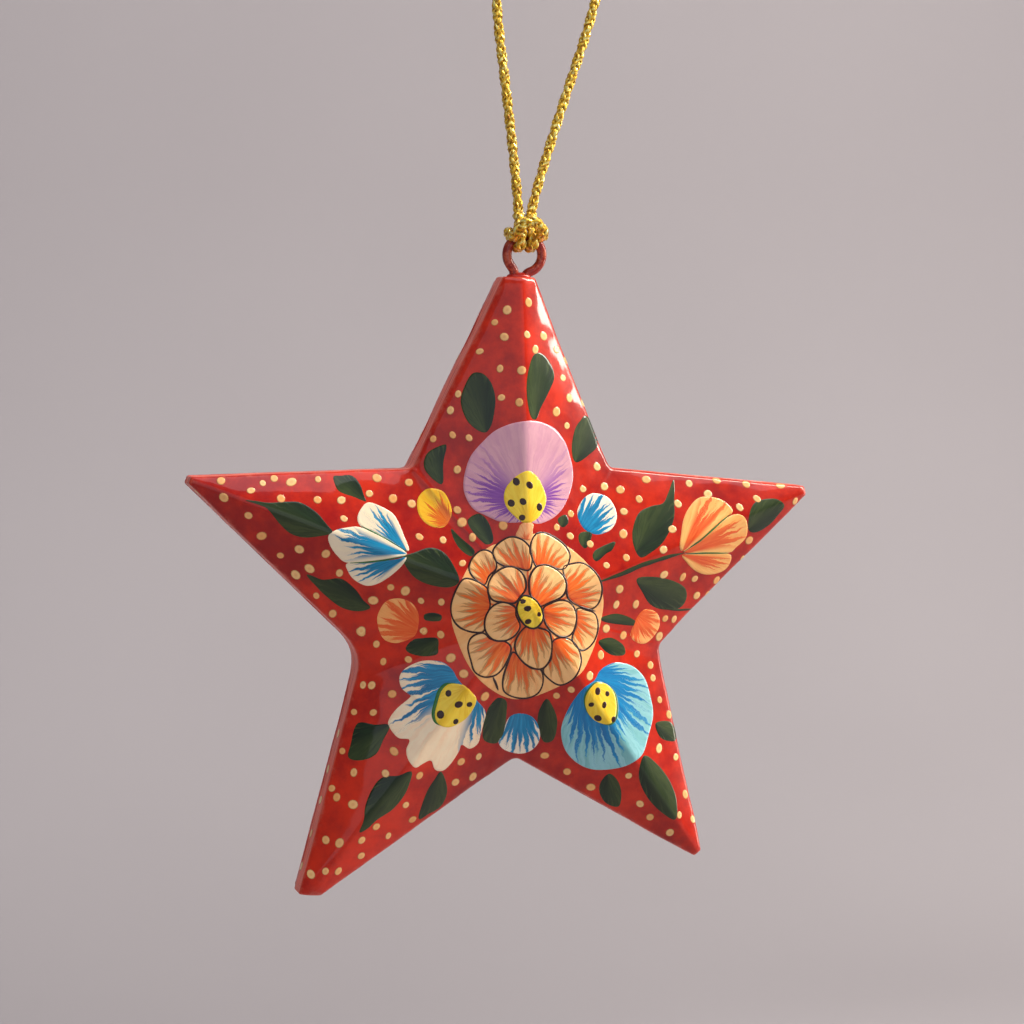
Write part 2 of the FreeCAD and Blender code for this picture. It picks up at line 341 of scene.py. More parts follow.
# Pressed tin: each half is drawn over the CAD half's own rim corners as one curved sheet, with
# folds softened as by a press, slight dents and a trimmed skirt
starMiddle = Vector((-0.00706, 0.00120, -0.11061))
tin = {
    "sheet": 0.0004,
    "peakHeight": 0.0104,      # over the rim
    "peakFlat": 5,             # no folds are left to soften nearer to the peak than a fifth of the way
    "edgeDistance": 0.0197,    # from the middle of the star to the arms' long edges
    "firstBearing": -15,       # degrees, just before the top arm's left corner
    "rows": 52,
    "step": 0.00065,
    "tipStep": 0.00030,
    "rimRadius": 0.0008,
    "rimRows": 5,
    "wallStep": 0.0005,
    "ridgeWidth": 0.00042,     # half the width of the round on a ridge
    "valleyWidth": 0.0008,
    "swell": 0.00036,          # the facets belly out towards their rims
    "swellReach": 0.0022,
    "bluntFrom": 0.030,        # the blunt arm is rounder towards its end
    "bluntLength": 0.020,
    "tipRound": 0.0003,
    # how far the drawn corners of an arm's end leave the straight cut of the CAD rim, (x, z)
    "endShifts": {3: (0.0005, 0.0), 4: (0.0004, 0.0), 9: (0.0001, 0.0008), 10: (0.0004, -0.0015),
                  12: (-0.0007, 0.0006), 13: (-0.0008, 0.0003)},
    "waistRound": 0.0010,
    "leftWaist": -0.018,       # the lower waist left of this is rounded far more
    "leftWaistRound": 0.0042,
    "roundPoints": 7,
    "trim": 0.00016,
    "trimGrain": 220,
    "foldRows": 3.5,           # rows to each side of the rim over which the lacquer is lighter
    "uneven": {"dents": (0.011, 0.00026), "ripples": (0.0040, 0.00007)},      # size, depth
}
halves = {
    "front": {"node": "front_shell", "piece": "frontTin", "side": -1, "rim": -0.0023, "end": 0.0019},
    "back": {"node": "back_shell", "piece": "backTin", "side": 1, "rim": 0.0047, "end": -0.0004},
}


def bearing(point):
    return math.atan2(point.x, point.y)


def limited(value):
    return min(1.0, max(0.0, value))


def inSpace(place, y):
    # of a place in the star's own plane
    return Vector((starMiddle.x + place.x, y, starMiddle.z + place.y))


def rimCorners(half):
    # the CAD half's outer rim corners about the star's middle, (x, z), clockwise from the top arm:
    # for each arm its left and right corner, shifted as drawn, then the waist after it
    corners = {}
    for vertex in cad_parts[half["node"]].data.vertices:
        if abs(vertex.co.y - half["rim"]) < 0.00001:
            away = vertex.co - starMiddle
            corners[(round(away.x, 5), round(away.z, 5))] = Vector((away.x, away.z))
    first = math.radians(tin["firstBearing"])
    corners = sorted(corners.values(), key=lambda corner: (bearing(corner) - first) % math.tau)
    for i, shift in tin["endShifts"].items():
        corners[i] += Vector(shift)
    return corners


def heightOver(start, end, point):
    # of the facet that rises from a rim edge to the peak
    edge = end - start
    return tin["peakHeight"] * (point - start).cross(edge) / (-start).cross(edge)


def roundedOutline(corners):
    # even points of the outline with its corners rounded
    outline = []
    count = len(corners)
    sizes = [tin["tipRound"]] * count
    for i in range(2, count, 3):
        isLeft = corners[i].x < tin["leftWaist"] and corners[i].y < 0
        sizes[i] = tin["leftWaistRound"] if isLeft else tin["waistRound"]
    for i, corner in enumerate(corners):
        before, after = corners[i - 1], corners[(i + 1) % count]
        enter = corner + (before - corner).normalized() * sizes[i]
        leave = corner + (after - corner).normalized() * sizes[i]
        for k in range(tin["roundPoints"]):
            share = k / (tin["roundPoints"] - 1)
            outline.append(enter.lerp(corner, share).lerp(corner.lerp(leave, share), share))
        goal = after + (corner - after).normalized() * sizes[(i + 1) % count]
        step = tin["tipStep"] if i % 3 == 0 else tin["step"]
        steps = max(1, round((goal - leave).length / step))
        outline += [leave.lerp(goal, k / steps) for k in range(1, steps)]
    return outline


def rowsFromPeak(slope):
    # how much of the way to the rim each row of points has gone, and its drop over the round of the rim
    turn = math.pi / 2 - slope
    inset = tin["rimRadius"] * (1 - math.cos(turn))
    centreDrop = inset * math.tan(slope) - tin["rimRadius"] * math.sin(turn)
    rows = [((1 - inset / tin["edgeDistance"]) * k / tin["rows"], 0.0) for k in range(1, tin["rows"] + 1)]
    for k in range(1, tin["rimRows"] + 1):
        angle = turn * (1 - k / tin["rimRows"])
        edge = tin["rimRadius"] * (1 - math.cos(angle))
        drop = edge * math.tan(slope) - centreDrop - tin["rimRadius"] * math.sin(angle)
        rows.append((1 - edge / tin["edgeDistance"], drop))
    return rows


def withRidgeEnds(outline, armAt, facets):
    # the outline with a point exactly at every ridge, so that a column of points runs along it
    ridges = {}
    for k, (edgePoint, ahead) in enumerate(zip(outline, outline[1:] + outline[:1])):
        arm = armAt(edgePoint)
        if arm == armAt(ahead):
            one, two = [own[0] - own[1] for own in (facets(arm, edgePoint), facets(arm, ahead))]
            if one * two < 0 or one == 0:
                ridges[k] = edgePoint.lerp(ahead, one / (one - two))
    lined = []
    for k, edgePoint in enumerate(outline):
        if all((edgePoint - crest).length > tin["tipStep"] / 3 for crest in ridges.values()):
            lined.append(edgePoint)
        if k in ridges:
            lined.append(ridges[k])
    return lined


def pressedHalf(half):
    # the half's outer skin, and the outline that it was pressed over
    corners = rimCorners(half)
    side = half["side"]
    waists = [bearing(corners[3 * arm + 2]) for arm in range(5)]
    peak = tin["peakHeight"]
    slope = math.atan2(peak, tin["edgeDistance"])
    rows = rowsFromPeak(slope)
    endHeight = (half["end"] - half["rim"]) * side
    wallRows = round(-endHeight / tin["wallStep"])
    ridge = tin["ridgeWidth"] * 2 * math.tan(slope)
    valley = tin["valleyWidth"] * 2 * math.tan(slope)

    def facets(arm, point):
        left, right = corners[3 * arm], corners[3 * arm + 1]
        return (heightOver(corners[3 * arm - 1], left, point),
                heightOver(right, corners[(3 * arm + 2) % 15], point))

    def armAt(point):
        angle = bearing(point)
        return next((i for i in range(5) if (waists[i] - angle) % math.tau
                     < (waists[i] - waists[i - 1]) % math.tau), 0)

    outline = withRidgeEnds(roundedOutline(corners), armAt, facets)
    columns = []
    for edgePoint in outline:
        arm = armAt(edgePoint)
        outer = max(0.0, min(facets(arm, edgePoint)))
        column = []
        for share, drop in rows:
            place = edgePoint * share
            own = facets(arm, place)
            lower = min(own)
            between = abs(own[0] - own[1])
            flat = min(1.0, share * tin["peakFlat"])
            fold = 0.5 * (between - math.hypot(between, ridge * flat))
            for other in (facets((arm - 1) % 5, place)[1], facets((arm + 1) % 5, place)[0]):
                below = max(0.0, lower - other)
                fold += 0.5 * (math.hypot(below, valley * flat) - below)
            fromRim = (1 - share) * tin["edgeDistance"]
            upper = limited((place.y - tin["bluntFrom"]) / tin["bluntLength"])
            swell = tin["swell"] * (1 - math.exp(-fromRim / tin["swellReach"]))
            swell *= 1 + upper * (1 - upper * share)
            height = (1 - share) * (peak - tin["swell"]) + share * outer + fold + swell - drop
            column.append((place, height))
        top = column[-1][1]
        trim = tin["trim"] * noise.noise(Vector((edgePoint.x, 0, edgePoint.y)) * tin["trimGrain"])
        for k in range(1, wallRows + 1):
            column.append((edgePoint, top + (endHeight + trim - top) * k / wallRows))
        columns.append(column)
    depth, count = len(columns[0]), len(columns)
    points = [Vector((starMiddle.x, half["rim"] + side * peak, starMiddle.z))]
    for k in range(depth):
        points += [inSpace(column[k][0], half["rim"] + side * column[k][1]) for column in columns]
    faces = []
    for j in range(count):
        after = (j + 1) % count
        faces.append((0, 1 + after, 1 + j))
        for k in range(depth - 1):
            a, b = 1 + k * count + j, 1 + k * count + after
            faces.append((a, b, b + count, a + count))
    skin = meshObject(half["piece"], points, faces if side < 0 else [face[::-1] for face in faces])
    masks = {"wall": [limited((row - tin["rows"] - 1) / (tin["rimRows"] - 1)) for row in range(depth)],
             "fold": [limited(1 - abs(row - tin["rows"] - 2) / tin["foldRows"]) for row in range(depth)]}
    for mask, strengths in masks.items():
        addAttribute(skin, mask, [0.0] + [strength for strength in strengths for column in columns])
    for name, (size, push) in tin["uneven"].items():
        displaced(skin, name, size, push)
    applyModifiers(skin)
    return skin, outline


frontTin, frontOutline = pressedHalf(halves["front"])
tinSurface = BVHTree.FromObject(frontTin, bpy.context.evaluated_depsgraph_get())
backTin = pressedHalf(halves["back"])[0]
backSurface = BVHTree.FromObject(backTin, bpy.context.evaluated_depsgraph_get())
for half in (frontTin, backTin):
    wall = half.modifiers.new("sheet", "SOLIDIFY")
    wall.thickness = tin["sheet"]
    wall.offset = -1
    applyModifiers(half)
print("tin halves", len(frontTin.data.polygons), len(backTin.data.polygons), "faces")


# The lap is closed by a thin uneven bead of solder under the lacquer
seamBead = {
    "seam": 0.0019,
    "section": [(-0.00002, -0.0002), (0.00001, 0.00006), (0.00014, 0.00026), (0.00034, 0.00040),
                (0.00056, 0.00048), (0.00056, -0.0002)],       # inwards, backwards
    "unevenness": 0.45,
    "grain": 420,
}
beadRings = []
for i, edgePoint in enumerate(frontOutline):
    along = (frontOutline[(i + 1) % len(frontOutline)] - frontOutline[i - 1]).normalized()
    inward = Vector((along.y, -along.x))
    lump = 1 + seamBead["unevenness"] * noise.noise(
        Vector((edgePoint.x, 0.01, edgePoint.y)) * seamBead["grain"])
    beadRings.append([inSpace(edgePoint + inward * inset, seamBead["seam"] + rise * (lump if rise > 0 else 1))
                      for inset, rise in seamBead["section"]])
beadPoints, beadFaces = [], []
addTube(beadPoints, beadFaces, beadRings, isRound=True)
seam = pick(meshObject("lapSeam", beadPoints, beadFaces))
bpy.ops.object.mode_set(mode="EDIT")
bpy.ops.mesh.select_all(action="SELECT")
bpy.ops.mesh.normals_make_consistent(inside=False)
bpy.ops.object.mode_set(mode="OBJECT")
print("seam made")


# Where the two legs of the eye go into the blunt arm, the lacquer stands round them in a low mound
collarLook = {
    "place": (-0.00560, 0.0, -0.06020),
    "size": (0.0020, 0.0012, 0.0008),
    "lumps": (0.0014, 0.0004),         # size, depth
}
bpy.ops.mesh.primitive_uv_sphere_add(segments=32, ring_count=18, radius=1.0, location=collarLook["place"])
collar = bpy.context.object
collar.name = "eyeCollar"
collar.scale = collarLook["size"]
bpy.ops.object.transform_apply(location=True, rotation=True, scale=True)
displaced(collar, "lumps", *collarLook["lumps"])
applyModifiers(collar)
smoothShaded(collar.data)
print("eye collar made")


# Paint: thin films laid over the pressed front. Their shapes are read off the photograph,
# in pixels of its 1024 frame, and carried along the camera's rays on to the tin.
paint = {
    "step": 1.7,               # pixels between a film's points
    "border": 1.3,             # pixels from its thin edge to its full thickness
    "tuck": -0.00003,          # how far its edge is drawn into the tin
    "pixel": 0.000158,         # metres that a pixel covers at the star
    "middle": (530, 611),
    "directions": 120,         # in which a film's reach from its base is taken
    "edgeSteps": 6,
    "curveSteps": 10,
    "backbone": 0.9,
    "leastInside": 0.3,        # of a narrow film that its border leaves
    "lineFlat": 0.28,          # half the flat top of a brush line, as a share of its width
    "lineTaper": (0.25, 1.05),     # its width at an open end, and how much more the middle has
    "lineWaver": 0.35,
    "lineGrain": 0.09,
    "dotSides": 12,
    "dotProfile": [(1.0, 0.0), (0.84, 0.7), (0.55, 1.0), (0.24, 0.72)],     # of the radius, of the height
    "dotStretch": (1.0, 1.22),
    "dotLobes": (0.02, 0.07),
    "dotSizes": (0.85, 1.2),
    "backFrom": 0.0019,        # a film behind this lies on the back half
}
painted = {}
focal = photoView["imageSize"] * photoView["lens"] / photoView["sensor"]
cameraPlace = camera.matrix_world.translation.copy()
cameraTurn = camera.matrix_world.to_3x3()


def onTin(px, py):
    # place and normal on the front half where the camera sees a pixel
    half = photoView["imageSize"] / 2
    ray = (cameraTurn @ Vector((px - half, half - py, -focal))).normalized()
    place, normal, face, distance = tinSurface.ray_cast(cameraPlace, ray)
    if place is None:
        reach = (halves["front"]["rim"] - cameraPlace.y) / ray.y
        place, normal, face, distance = tinSurface.find_nearest(cameraPlace + ray * reach)
    return place, normal


def smoothLoop(points):
    # an even closed line in pixels, curved through the points
    line = []
    for i in range(len(points)):
        a, b, c, d = [Vector(points[(i + k - 1) % len(points)]) for k in range(4)]
        for k in range(paint["curveSteps"]):
            t = k / paint["curveSteps"]
            line.append(0.5 * (2 * b + (c - a) * t + (2 * a - 5 * b + 4 * c - d) * t ** 2
                               + (3 * b - a - 3 * c + d) * t ** 3))
    return evenly(line + [line[0]], paint["step"])[:-1]


def smoothRoute(spots):
    return evenly([Vector(spot) for spot in spots], paint["step"])


def reachAround(edge, base):
    # distance from the base to the film's edge, by direction
    directions = paint["directions"]
    reach = [0.0] * directions
    for i, corner in enumerate(edge):
        for k in range(paint["edgeSteps"]):
            away = corner.lerp(edge[(i + 1) % len(edge)], k / paint["edgeSteps"]) - base
            j = int(math.atan2(away.y, away.x) / math.tau * directions) % directions
            reach[j] = max(reach[j], away.length)
    known = [j for j in range(directions) if reach[j] > 0]
    return [reach[j] or reach[min(known, key=lambda k: min((k - j) % directions, (j - k) % directions))]
            for j in range(directions)]


def spineOf(edge):
    # the middle of a film, and the direction and half length of its backbone
    middle = sum(edge, Vector((0, 0))) / len(edge)
    xx = sum((p.x - middle.x) ** 2 for p in edge)
    yy = sum((p.y - middle.y) ** 2 for p in edge)
    xy = sum((p.x - middle.x) * (p.y - middle.y) for p in edge)
    angle = 0.5 * math.atan2(2 * xy, xx - yy)
    axis = Vector((math.cos(angle), math.sin(angle)))
    length = max(abs((p - middle).dot(axis)) for p in edge)
    width = max(abs((p - middle).cross(axis)) for p in edge)
    return middle, axis, max(0.0, length - width) * paint["backbone"]


class Films:
    # the points, faces and brush places of one painted piece
    def __init__(self):
        self.points, self.faces, self.stroke, self.rim = [], [], [], []

    def put(self, place, stroke, rim):
        self.points.append(place)
        self.stroke.append(stroke)
        self.rim.append(rim)

    def bridge(self, first, count, rows):
        # faces between closed rows of points that were put down one after another
        for row in range(rows):
            for k in range(count):
                a, b = first + row * count + k, first + row * count + (k + 1) % count
                self.faces.append((a, b, b + count, a + count))

    def add(self, outline, height, base=None, towards=None, back=0.0):
        edge = smoothLoop(outline)
        middle, axis, backbone = spineOf(edge)
        if base is None:
            centre = Vector(paint["middle"])
            base = min(edge, key=lambda p: (p - centre).length)
            base = base + (centre - base).normalized() * back
        base = Vector(base)
        reach = reachAround(edge, base)
        facing = (Vector(towards) if towards else middle) - base
        if facing.length < 0.1:
            facing = Vector((0, -1))
        seed = random.random()
        targets = [middle + axis * paint["step"] * round(
            max(-backbone, min(backbone, (p - middle).dot(axis))) / paint["step"]) for p in edge]
        rows = max(3, round(max((p - t).length for p, t in zip(edge, targets)) / paint["step"]))
        first, count = len(self.points), len(edge)

        def lay(spot, rise, fromEdge):
            place, normal = onTin(*spot)
            away = spot - base
            turn = math.atan2(away.y, away.x)
            j = turn / math.tau * len(reach)
            low, high = reach[int(j // 1) % len(reach)], reach[int(j // 1 + 1) % len(reach)]
            along = away.length / (low + (high - low) * (j % 1) + 0.001)
            side = (turn - math.atan2(facing.y, facing.x) + math.pi) % math.tau - math.pi
            self.put(place + normal * rise, (min(1.0, along), side, seed), fromEdge * paint["pixel"] / mm)

        for row in range(rows + 1):
            for corner, target in zip(edge, targets):
                size = (corner - target).length
                share = 1.0
                if row:
                    share = max(paint["leastInside"], 1 - paint["border"] / size) * (1 - (row - 1) / rows)
                lay(target.lerp(corner, share), height if row else paint["tuck"], (1 - share) * size)
        spine = {}
        for corner, target in zip(edge, targets):
            if tuple(target) not in spine:
                spine[tuple(target)] = len(self.points)
                lay(target, height, (corner - target).length)
        self.bridge(first, count, rows)
        inmost = first + rows * count
        for k in range(count):
            after = (k + 1) % count
            ends = spine[tuple(targets[after])], spine[tuple(targets[k])]
            self.faces.append(tuple(dict.fromkeys((inmost + k, inmost + after, *ends))))

    def line(self, route, width, floor, height, closed=True):
        # a raised brush line, a little uneven in width
        first, count = len(self.points), len(route)
        seed = random.random()
        for i, spot in enumerate(route):
            after = route[(i + 1) % count] if closed else route[min(i + 1, count - 1)]
            before = route[i - 1] if closed else route[max(i - 1, 0)]
            forward = (after - before).normalized()
            across = Vector((-forward.y, forward.x))
            waver = noise.noise(Vector((spot.x, spot.y, 9)) * paint["lineGrain"])
            size = width * (1 + paint["lineWaver"] * waver)
            if not closed:
                least, more = paint["lineTaper"]
                size *= min(1.0, least + more * math.sin(math.pi * (i + 0.5) / count))
            flat = paint["lineFlat"]
            for share, rise in ((-0.5, floor), (-flat, height), (flat, height), (0.5, floor)):
                place, normal = onTin(*(spot + across * size * share))
                self.put(place + normal * rise, (i / count, share, seed), 0.0)
        for i in range(count if closed else count - 1):
            for k in range(3):
                a, b = first + 4 * i + k, first + 4 * ((i + 1) % count) + k
                self.faces.append((a, a + 1, b + 1, b))

    def dot(self, place, normal, surface, radius, floor, height):
        # a drop that dried with a slightly sunken middle
        seed = random.random()
        side = normal.orthogonal().normalized()
        up = normal.cross(side)
        turned = random.uniform(0, math.tau)
        stretch = random.uniform(*paint["dotStretch"])
        lobes = random.uniform(*paint["dotLobes"])
        first, sides = len(self.points), paint["dotSides"]
        for share, part in paint["dotProfile"]:
            rise = floor + (part * height or paint["tuck"])
            for k in range(sides):
                angle = math.tau * k / sides
                size = radius * share * (1 + lobes * math.sin(2 * angle + turned * 3))
                x, y = size * math.cos(angle) * stretch, size * math.sin(angle)
                spot = (place + side * (x * math.cos(turned) - y * math.sin(turned))
                        + up * (x * math.sin(turned) + y * math.cos(turned)))
                near, facing, face, distance = surface.find_nearest(spot)
                self.put(near + facing * rise, (share, angle, seed), (1 - share) * radius / mm)
        self.bridge(first, sides, 3)
        self.faces.append(tuple(range(first + 3 * sides, first + 4 * sides)))

    def made(self, name):
        obj = meshObject(name, self.points, self.faces)
        addAttribute(obj, "stroke", self.stroke)
        addAttribute(obj, "rim", self.rim)
        # each face is turned to look the way the tin under it does
        pick(obj)
        for polygon in obj.data.polygons:
            below = tinSurface if polygon.center.y < paint["backFrom"] else backSurface
            polygon.select = polygon.normal.dot(below.find_nearest(polygon.center)[1]) < 0
        bpy.ops.object.mode_set(mode="EDIT")
        bpy.ops.mesh.flip_normals()
        bpy.ops.object.mode_set(mode="OBJECT")
        print(name, len(obj.data.polygons), "faces")
        painted[name] = obj


def film(name, height, *petals):
    # one painted piece; each petal is an outline, the base of its strokes and what they point to
    films = Films()
    for outline, *ways in petals:
        films.add(outline, height, *ways)
    films.made(name)


marigold = {
    "centre": (530, 611),
    "disc": [(544, 533), (560, 541), (576, 552), (591, 567), (600, 583), (604, 604), (598, 636), (590, 658),
        (581, 674), (563, 685), (543, 694), (527, 699), (510, 699), (494, 692), (478, 679), (466, 662),
        (457, 641), (451, 620), (453, 600), (462, 578), (473, 559), (488, 547), (500, 542), (514, 536),
        (528, 534)],
    "outer": [
        [(496, 562), (492, 553), (483, 550), (474, 556), (469, 567), (473, 577), (484, 585), (489, 576),
         (496, 569)],
        [(529, 546), (521, 539), (510, 537), (499, 543), (493, 551), (495, 560), (504, 566), (517, 568),
         (529, 570), (532, 560), (530, 552)],
        [(531, 554), (531, 543), (536, 534), (545, 533), (557, 539), (566, 547), (570, 557), (564, 569),
         (550, 567), (537, 567)],
        [(563, 568), (571, 564), (582, 563), (592, 569), (599, 578), (602, 589), (599, 602), (591, 609),
         (579, 606), (568, 598), (566, 583)],
        [(577, 609), (586, 610), (595, 614), (598, 626), (595, 639), (588, 648), (580, 650), (572, 640),
         (576, 625)],
        [(553, 641), (566, 638), (576, 645), (581, 658), (579, 670), (572, 680), (560, 685), (549, 679),
         (543, 670), (551, 659)],
        [(513, 652), (507, 665), (503, 679), (504, 691), (514, 697), (527, 698), (538, 693), (543, 682),
         (541, 670), (531, 668), (521, 660)],
        [(483, 633), (472, 637), (468, 647), (471, 661), (475, 672), (485, 677), (497, 674), (506, 663),
         (511, 648), (504, 641), (491, 639)],
        [(487, 588), (476, 581), (464, 579), (456, 590), (451, 606), (453, 619), (461, 628), (473, 632),
         (484, 631), (485, 619), (490, 607), (489, 597)]],
    "inner": [
        [(524, 576), (516, 568), (506, 567), (495, 573), (489, 582), (488, 592), (493, 600), (503, 602),
         (514, 603), (520, 597), (526, 588)],
        [(529, 586), (530, 576), (536, 567), (546, 565), (557, 570), (565, 579), (566, 589), (561, 597),
         (548, 603), (539, 606), (531, 597)],
        [(543, 609), (551, 603), (560, 600), (569, 602), (575, 610), (576, 622), (571, 634), (562, 637),
         (553, 633), (545, 623)],
        [(517, 637), (515, 649), (522, 661), (533, 668), (543, 668), (550, 659), (552, 645), (549, 632),
         (540, 628), (527, 626)],
        [(515, 607), (504, 602), (493, 606), (486, 616), (485, 629), (492, 639), (503, 641), (514, 636),
         (520, 626), (516, 615)]],
    "eye": [(523, 596), (517, 606), (519, 617), (526, 626), (535, 628), (542, 621), (542, 610), (534, 599)],
    "eyeDots": [(522.9, 601.4), (527.3, 608.4), (538.6, 614.1), (527.8, 621.2)],
    "marks": [
        [(579, 606), (587, 609), (595, 611)],
        [(493, 677), (496, 684), (498, 690)]],
    "discHeight": 0.00004,
    "outerHeight": 0.00009,
    "innerHeight": 0.00013,
    "eyeHeight": 0.00017,
    "lineRise": 0.000012,
    "lineWidth": 1.9,
    "markWidth": 2.4,
    "petalBack": 14,           # pixels from a petal's inner edge to the base of its strokes
}
pansy = {
    "petal": [(529, 521), (516, 523), (500, 522), (486, 516), (473, 509), (465, 496), (463, 483), (466, 467),
        (471, 455), (481, 443), (494, 431), (509, 424), (523, 421), (533, 420.5), (545, 423), (557, 430),
        (566, 443), (570, 455), (573, 468), (573, 481), (569, 496), (562, 510), (552, 519), (540, 524),
        (532, 523)],
    "base": (527, 500),
    "towards": (527, 421),
    "stalkBase": (526, 541),
    "stalk": [(522, 523), (533, 523), (533, 531), (531, 541), (516, 537), (518, 529)],
    "eye": [(527, 470), (518, 474), (511, 480), (505, 488), (503, 498), (506, 508), (513, 516), (521, 522),
        (531, 523), (539, 518), (545, 508), (547, 498), (544, 488), (539, 478), (533, 472)],
    "eyeDots": [(516.4, 481.8), (529.5, 485.2), (511.3, 503.2), (523, 501.7), (539, 507.1), (522.2, 517.7)],
    "height": 0.00007,
}
blueFlowers = {
    "leftPetals": [
        ([(409, 551), (406, 540), (396, 517), (385, 508), (369, 502), (361, 508), (357, 518), (361, 527),
         (375, 533), (395, 546)], (408, 553)),
        ([(407, 553), (385, 538), (361, 527), (348, 527), (335, 530), (328, 536), (330, 546), (337, 556),
         (347, 563), (370, 562), (395, 558)], (407, 554)),
        ([(407, 557), (395, 559), (370, 562), (347, 563), (348, 572), (354, 580), (366, 586), (378, 584),
         (391, 576), (402, 566)], (408, 556))],
    "daisy": [(429, 660), (443, 662), (453, 670), (459, 680), (478, 701), (486, 712), (484, 723), (481, 735),
        (478, 744), (470, 749), (462, 745), (459, 752), (451, 764), (443, 771), (435, 770), (431, 761),
        (423, 764), (415, 768), (408, 760), (406, 750), (409, 740), (398, 738), (390, 729), (388, 721),
        (396, 709), (411, 695), (402, 689), (399, 678), (404, 669), (417, 662)],
    "daisyBase": (480, 672),
    "daisyAxis": (420, 765),
    "daisyEye": [(449, 683), (462, 684), (472, 692), (477, 701), (470, 715), (461, 723), (449, 728),
        (438, 725), (434, 715), (437, 701), (441, 690)],
    "daisyDots": [(448.6, 693.3), (458.6, 704.3), (469.2, 704.1), (440.6, 714.5), (455.5, 721.2)],
    "rightFlower": [(619, 662), (633, 666), (645, 678), (651, 697), (653.5, 715), (649, 735), (643, 754),
        (631, 764), (615, 769), (594, 770), (578, 764), (566, 752), (561, 737), (562, 723), (570, 705),
        (582, 689), (594, 680), (600, 670), (609, 664)],
    "rightBase": (586, 672),
    "rightAxis": (640, 760),
    "rightEye": [(596, 682), (606, 683), (614, 691), (617, 703), (616, 717), (609, 725), (596, 722),
        (587, 713), (584, 701), (587, 691)],
    "rightDots": [(597.3, 691.2), (606.9, 693.7), (591.2, 704.3), (603.9, 704.9), (597.8, 717.8),
        (613.1, 719.2)],
    "height": 0.00007,
}
orangeFlower = {
    "petals": [
        ([(681, 551), (681, 532), (685, 514), (695, 500), (705, 496), (718, 498), (727, 503), (733, 512),
         (720, 522), (700, 540)], (681, 554)),
        ([(683, 552), (700, 540), (720, 522), (734, 514), (744, 516), (748, 526), (746, 538), (736, 548),
         (729, 553), (709, 553)], (681, 554)),
        ([(683, 554), (709, 553), (730, 554), (730, 564), (722, 572), (707, 575), (695, 571), (686, 562)],
         (680, 554))],
    "height": 0.00007,
}
buds = {
    "yellow": ([(431, 488), (443, 491), (450, 502), (452, 514), (446, 526), (436, 528), (425, 523),
        (418, 513), (417, 500), (423, 491)], (449, 524)),
    "orangeLeft": ([(399, 598), (411, 602), (418, 611), (419, 623), (415, 636), (400, 643), (388, 642),
        (381, 636), (377, 623), (378, 613), (386, 601)], (428, 634)),
    "orangeRight": ([(645, 609), (655, 611), (660, 619), (658, 631), (647, 643), (637, 643), (630, 636),
        (633, 625), (638, 615)], (633, 613)),
    "blueTop": ([(597, 493), (608, 497), (615, 507), (617, 519), (611, 530), (598, 535), (586, 531),
        (579, 522), (577, 511), (582, 500), (589, 494)], (572, 545)),
    "blueBottom": ([(521, 713), (533, 717), (540, 729), (539, 742), (531, 751), (519, 754), (504, 750),
        (498, 742), (502, 735), (505, 725), (510, 716)], (520, 698)),
    "height": 0.00007,
}
petalFolds = {
    "lines": [
        [(407, 552), (390, 541), (375, 533), (361, 526)],
        [(405, 556), (385, 560), (366, 562), (350, 563)],
        [(683, 552), (700, 541), (718, 525), (731, 513)],
        [(684, 554), (706, 553), (728, 553)]],
    "width": 1.6,
    "height": 0.00009,
    "floor": 0.00003,
}
